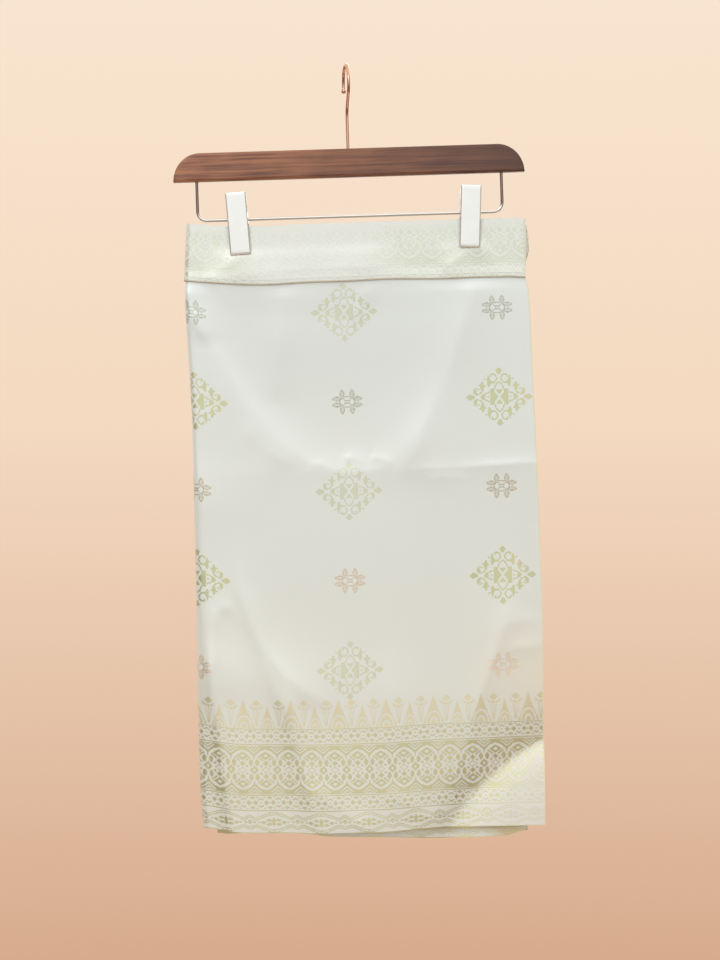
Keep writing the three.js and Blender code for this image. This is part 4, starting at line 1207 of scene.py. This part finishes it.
def ear_plate(x0, x1, slope):
    """A flat ear from the plate to a round eye about the rail."""
    def wall(z):
        return GRIP + (z + CLIP["below"]) * slope + 0.5
    outline = [(wall(z), z) for z in (EAR["from"], EAR["to"])] + arc((0, 0), EAR["eye"], 90, 270, 18)
    n = 24
    hole = arc((0, 0), EAR["hole"], 0, 360, n)[:-1]
    rim = [ray_to_outline(y, z, outline) for y, z in hole]
    points, faces = [(x, y, z) for x in (x0, x1) for y, z in hole + rim], []
    for k in range(n):
        m = (k + 1) % n
        faces.append((k, m, n + m, n + k))
        faces.append((2 * n + m, 2 * n + k, 3 * n + k, 3 * n + m))
        faces.append((n + k, n + m, 3 * n + m, 3 * n + k))
        faces.append((m, k, 2 * n + k, 2 * n + m))
    return points, faces


def ray_to_outline(y, z, outline):
    """Where the ray from the origin through (y, z) meets a closed outline."""
    best = None
    for (ay, az), (by, bz) in zip(outline, outline[1:] + outline[:1]):
        ey, ez = by - ay, bz - az
        cross = y * ez - z * ey
        if abs(cross) < 1e-9:
            continue
        t = (ay * ez - az * ey) / cross
        k = (ay * z - az * y) / cross
        if t > 0 and -1e-6 <= k <= 1 + 1e-6 and (best is None or t < best):
            best = t
    return (y * best, z * best)


def spring(side, material):
    """A torsion spring's coil round the rail, with a leg up inside each plate."""
    turns, wire, radius = (SPRING[name] for name in ("turns", "wire", "radius"))
    coil = []
    for i in range(int(turns * SPRING["steps"]) + 1):
        angle = 2 * math.pi * i / SPRING["steps"]
        x = -turns * wire * 0.56 + wire * 1.12 * i / SPRING["steps"]
        coil.append((x, -radius * math.cos(angle), radius * math.sin(angle)))
    leg = [(radius + 0.1, 1.4), (radius + 1.2, 7.0), (SPRING["leg_out"], SPRING["leg"])]
    start_leg = [(coil[0][0], -y, z) for y, z in reversed(leg)]
    finish_leg = [(coil[-1][0], y, z) for y, z in leg]
    points, faces = tube(start_leg + coil + finish_leg, wire / 2, 10)
    made = make_object(f"clip_{side}_spring_coil", points, faces, material, transform=clip_frame(side))
    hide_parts(f"clip_{side}_spring")


def grip_pad(side, front, material):
    """A moulded pad with ribs across the face that holds the cloth."""
    low, high = PAD["from"] - CLIP["below"], PAD["to"] - CLIP["below"]
    near, far, bevel = STACK + PAD["near"], STACK + PAD["far"], PAD["bevel"]
    half = CLIP["width"] / 2 - 1
    levels = np.linspace(low, high, PAD["ribs"] * 6 + 1)
    waves = np.cos(2 * math.pi * PAD["ribs"] * (levels - low) / (high - low))
    section = [(y, z) for y, z in zip(near + PAD["rib"] * (0.5 + 0.5 * waves), levels)]
    section += [(far - bevel, high + 0.2), (far, high), (far, low), (far - bevel, low - 0.2)]
    points = []
    xs = (-half, -half + 0.4, half - 0.4, half)
    for x in xs:
        shrink = 0.12 if abs(x) == half else 0.0
        points += [(x, y + (shrink if y < far - bevel else -shrink), z) for y, z in section]
    if front:
        points = [(-x, -y, z) for x, y, z in points]
    where = "front" if front else "back"
    made = make_object(f"clip_{side}_{where}_grip", points, ring_faces(len(xs), len(section)), material,
                       smooth=False, transform=clip_frame(side))
    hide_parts(f"clip_{side}_{where}_pad")


def clip(side, metal, wire, rubber):
    for front in (True, False):
        where = "front" if front else "back"
        points, faces = pressed_plate(front)
        made = make_object(f"clip_{side}_{where}_jaw", points, faces, metal, transform=clip_frame(side))
        shade_by_angle(made)
        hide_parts(f"clip_{side}_{where}_plate")
        grip_pad(side, front, rubber)
    spring(side, wire)


def shade_by_angle(piece, degrees=35):
    """Smooth shading that stays sharp where faces meet at more than the angle."""
    mesh = piece.data
    mesh.polygons.foreach_set("use_smooth", [True] * len(mesh.polygons))
    mesh.set_sharp_from_angle(angle=math.radians(degrees))


# ---- build ----

right_side = songket_material("songket_right_side")
wrong_side = songket_material("songket_wrong_side", "wrong")
band_cloth = songket_material("songket_waistband", "band")
sewing = srgb(226, 224, 206)
thread = grainy_material("sewing_thread", 900.0, 2.0, (sewing, darker(sewing, 0.8)), 0.6, (0.0001, 0.4), 0.3)
pads = (srgb(196, 190, 178), srgb(214, 208, 198))
rubber = grainy_material("grip_pad", 1400.0, 3.0, pads, 0.75, (0.00008, 0.5))
copper, plating, clip_plating = (
    metal_material(name, (color, darker(color, 0.86)), roughness) for name, color, roughness in (
        ("rose_plating", srgb(214, 168, 146), 0.14),
        ("bright_plating", srgb(226, 218, 212), 0.1),
        ("clip_plating", srgb(233, 231, 227), 0.3),
    )
)
span = (srgb(228, 221, 215), srgb(206, 196, 188))
rail_plating = metal_material("rail_plating", span, 0.12, smudge=0.06, scratch=0.0, legs=RAIL_LEG_REFLECTION)

body = body_cloth([right_side, wrong_side])
band, band_outer = waistband([band_cloth])
stitches = band_stitching(band_outer, thread)
hook(copper)
hanger_bar(wood_material())
clip_rail(rail_plating)
for side in CLIP_AT:
    clip(side, clip_plating, plating, rubber)


# ---- stage, light and camera ----

def plain_floor(level):
    made, tree, shader = new_material("pale_floor")
    set_shader(tree, shader, Base_Color=srgb(232, 214, 198), Roughness=0.8)
    bpy.ops.mesh.primitive_plane_add(size=2.4, location=(0.0, 0.0, level))
    floor = bpy.context.object
    floor.name = "floor"
    floor.data.materials.append(made)


def area_light(name, place, target, size, power, color):
    data = bpy.data.lights.new(name, "AREA")
    data.size = size
    data.energy = power
    data.color = color
    lamp = bpy.data.objects.new(name, data)
    bpy.context.scene.collection.objects.link(lamp)
    lamp.location = place
    lamp.rotation_euler = (Vector(target) - Vector(place)).to_track_quat("-Z", "Y").to_euler()


# The studio's light where the camera doesn't see it: a broad sweep from dim below to bright above, dark at
# the far left and right. from, to and the sides' starts are shares of a direction's length.
SKY = {
    "from": -0.42, "to": 0.08, "level": 1.005, "overhead": 0.25,
    "left_from": 0.42, "right_from": 0.5, "side_fade": 0.2, "side_share": 0.85,
    "low": (0.33, 0.28, 0.2, 1.0), "high": (1.16, 1.19, 1.19, 1.0), "sides": (0.12, 0.09, 0.075, 1.0),
    "behind_low": (0.45, 0.32, 0.24, 1.0), "behind_high": (0.9, 0.8, 0.7, 1.0),
}


def backdrop_world():
    """A peach paper backdrop where it is seen, with painted shade that darkens it towards the bottom; as
    light, a white studio in front and that paper behind.
    """
    world = bpy.data.worlds.new("studio")
    bpy.context.scene.world = world
    world.use_nodes = True
    tree = world.node_tree
    tree.nodes.clear()
    output = tree.nodes.new("ShaderNodeOutputWorld")
    right, behind, up = split_vector(tree, add_node(tree, "ShaderNodeTexCoord").outputs["Generated"])
    # Painted shade: the paper darkens from top to bottom, like the wall's shadow gradient.
    paper = [(0.0, srgb(214, 170, 140)), (0.55, srgb(243, 217, 192)), (1.0, srgb(249, 229, 208))]
    paper_shaded_color = color_ramp(tree, ((up + 0.2) / 0.4).clamped(), paper)
    seen = add_node(tree, "ShaderNodeBackground", {"Color": paper_shaded_color})
    facing = (behind * -1.2 + 0.3).clamped()
    slope = ((up - SKY["from"]) / (SKY["to"] - SKY["from"])).clamped()
    slope = slope * slope * (3 - slope * 2)
    front_light = mix_colors(tree, slope, SKY["low"], SKY["high"])
    far_left, far_right = (
        ((across - SKY[start]) / SKY["side_fade"]).clamped() * SKY["side_share"]
        for across, start in ((right * -1, "left_from"), (right, "right_from"))
    )
    front_light = mix_colors(tree, far_left + far_right, front_light, SKY["sides"])
    back_light = mix_colors(tree, slope, SKY["behind_low"], SKY["behind_high"])
    glow = mix_colors(tree, facing, back_light, front_light)
    strength = (up * 2).clamped() * SKY["overhead"] + SKY["level"]
    light = add_node(tree, "ShaderNodeBackground", {"Color": glow, "Strength": strength})
    ray = add_node(tree, "ShaderNodeLightPath")
    mix = add_node(tree, "ShaderNodeMixShader")
    tree.links.new(ray.outputs["Is Camera Ray"], mix.inputs[0])
    tree.links.new(light.outputs[0], mix.inputs[1])
    tree.links.new(seen.outputs[0], mix.inputs[2])
    tree.links.new(mix.outputs[0], output.inputs[0])


def camera():
    """Level with the middle of the view, 2.4 m away, framing 0.72 by 0.96 m where the cloth hangs."""
    distance, tall = 2.4, 0.96
    data = bpy.data.cameras.new("camera")
    data.sensor_fit = "VERTICAL"
    data.sensor_height = 36
    data.lens = 36 * distance / tall
    made = bpy.data.objects.new("camera", data)
    bpy.context.scene.collection.objects.link(made)
    made.location = (0.0145, -distance, -0.4133)
    made.rotation_euler = (math.pi / 2, 0, 0)
    bpy.context.scene.camera = made


plain_floor(-1.9)
area_light("key", (-0.85, -1.6, 0.9), (0, 0, -0.4), 0.7, 8, (1.0, 1.0, 1.0))
area_light("back", (0.6, 1.8, 0.4), (0, 0, -0.4), 1.4, 12, (1.0, 0.97, 0.94))
backdrop_world()
camera()
bpy.context.scene.view_settings.view_transform = "Standard"
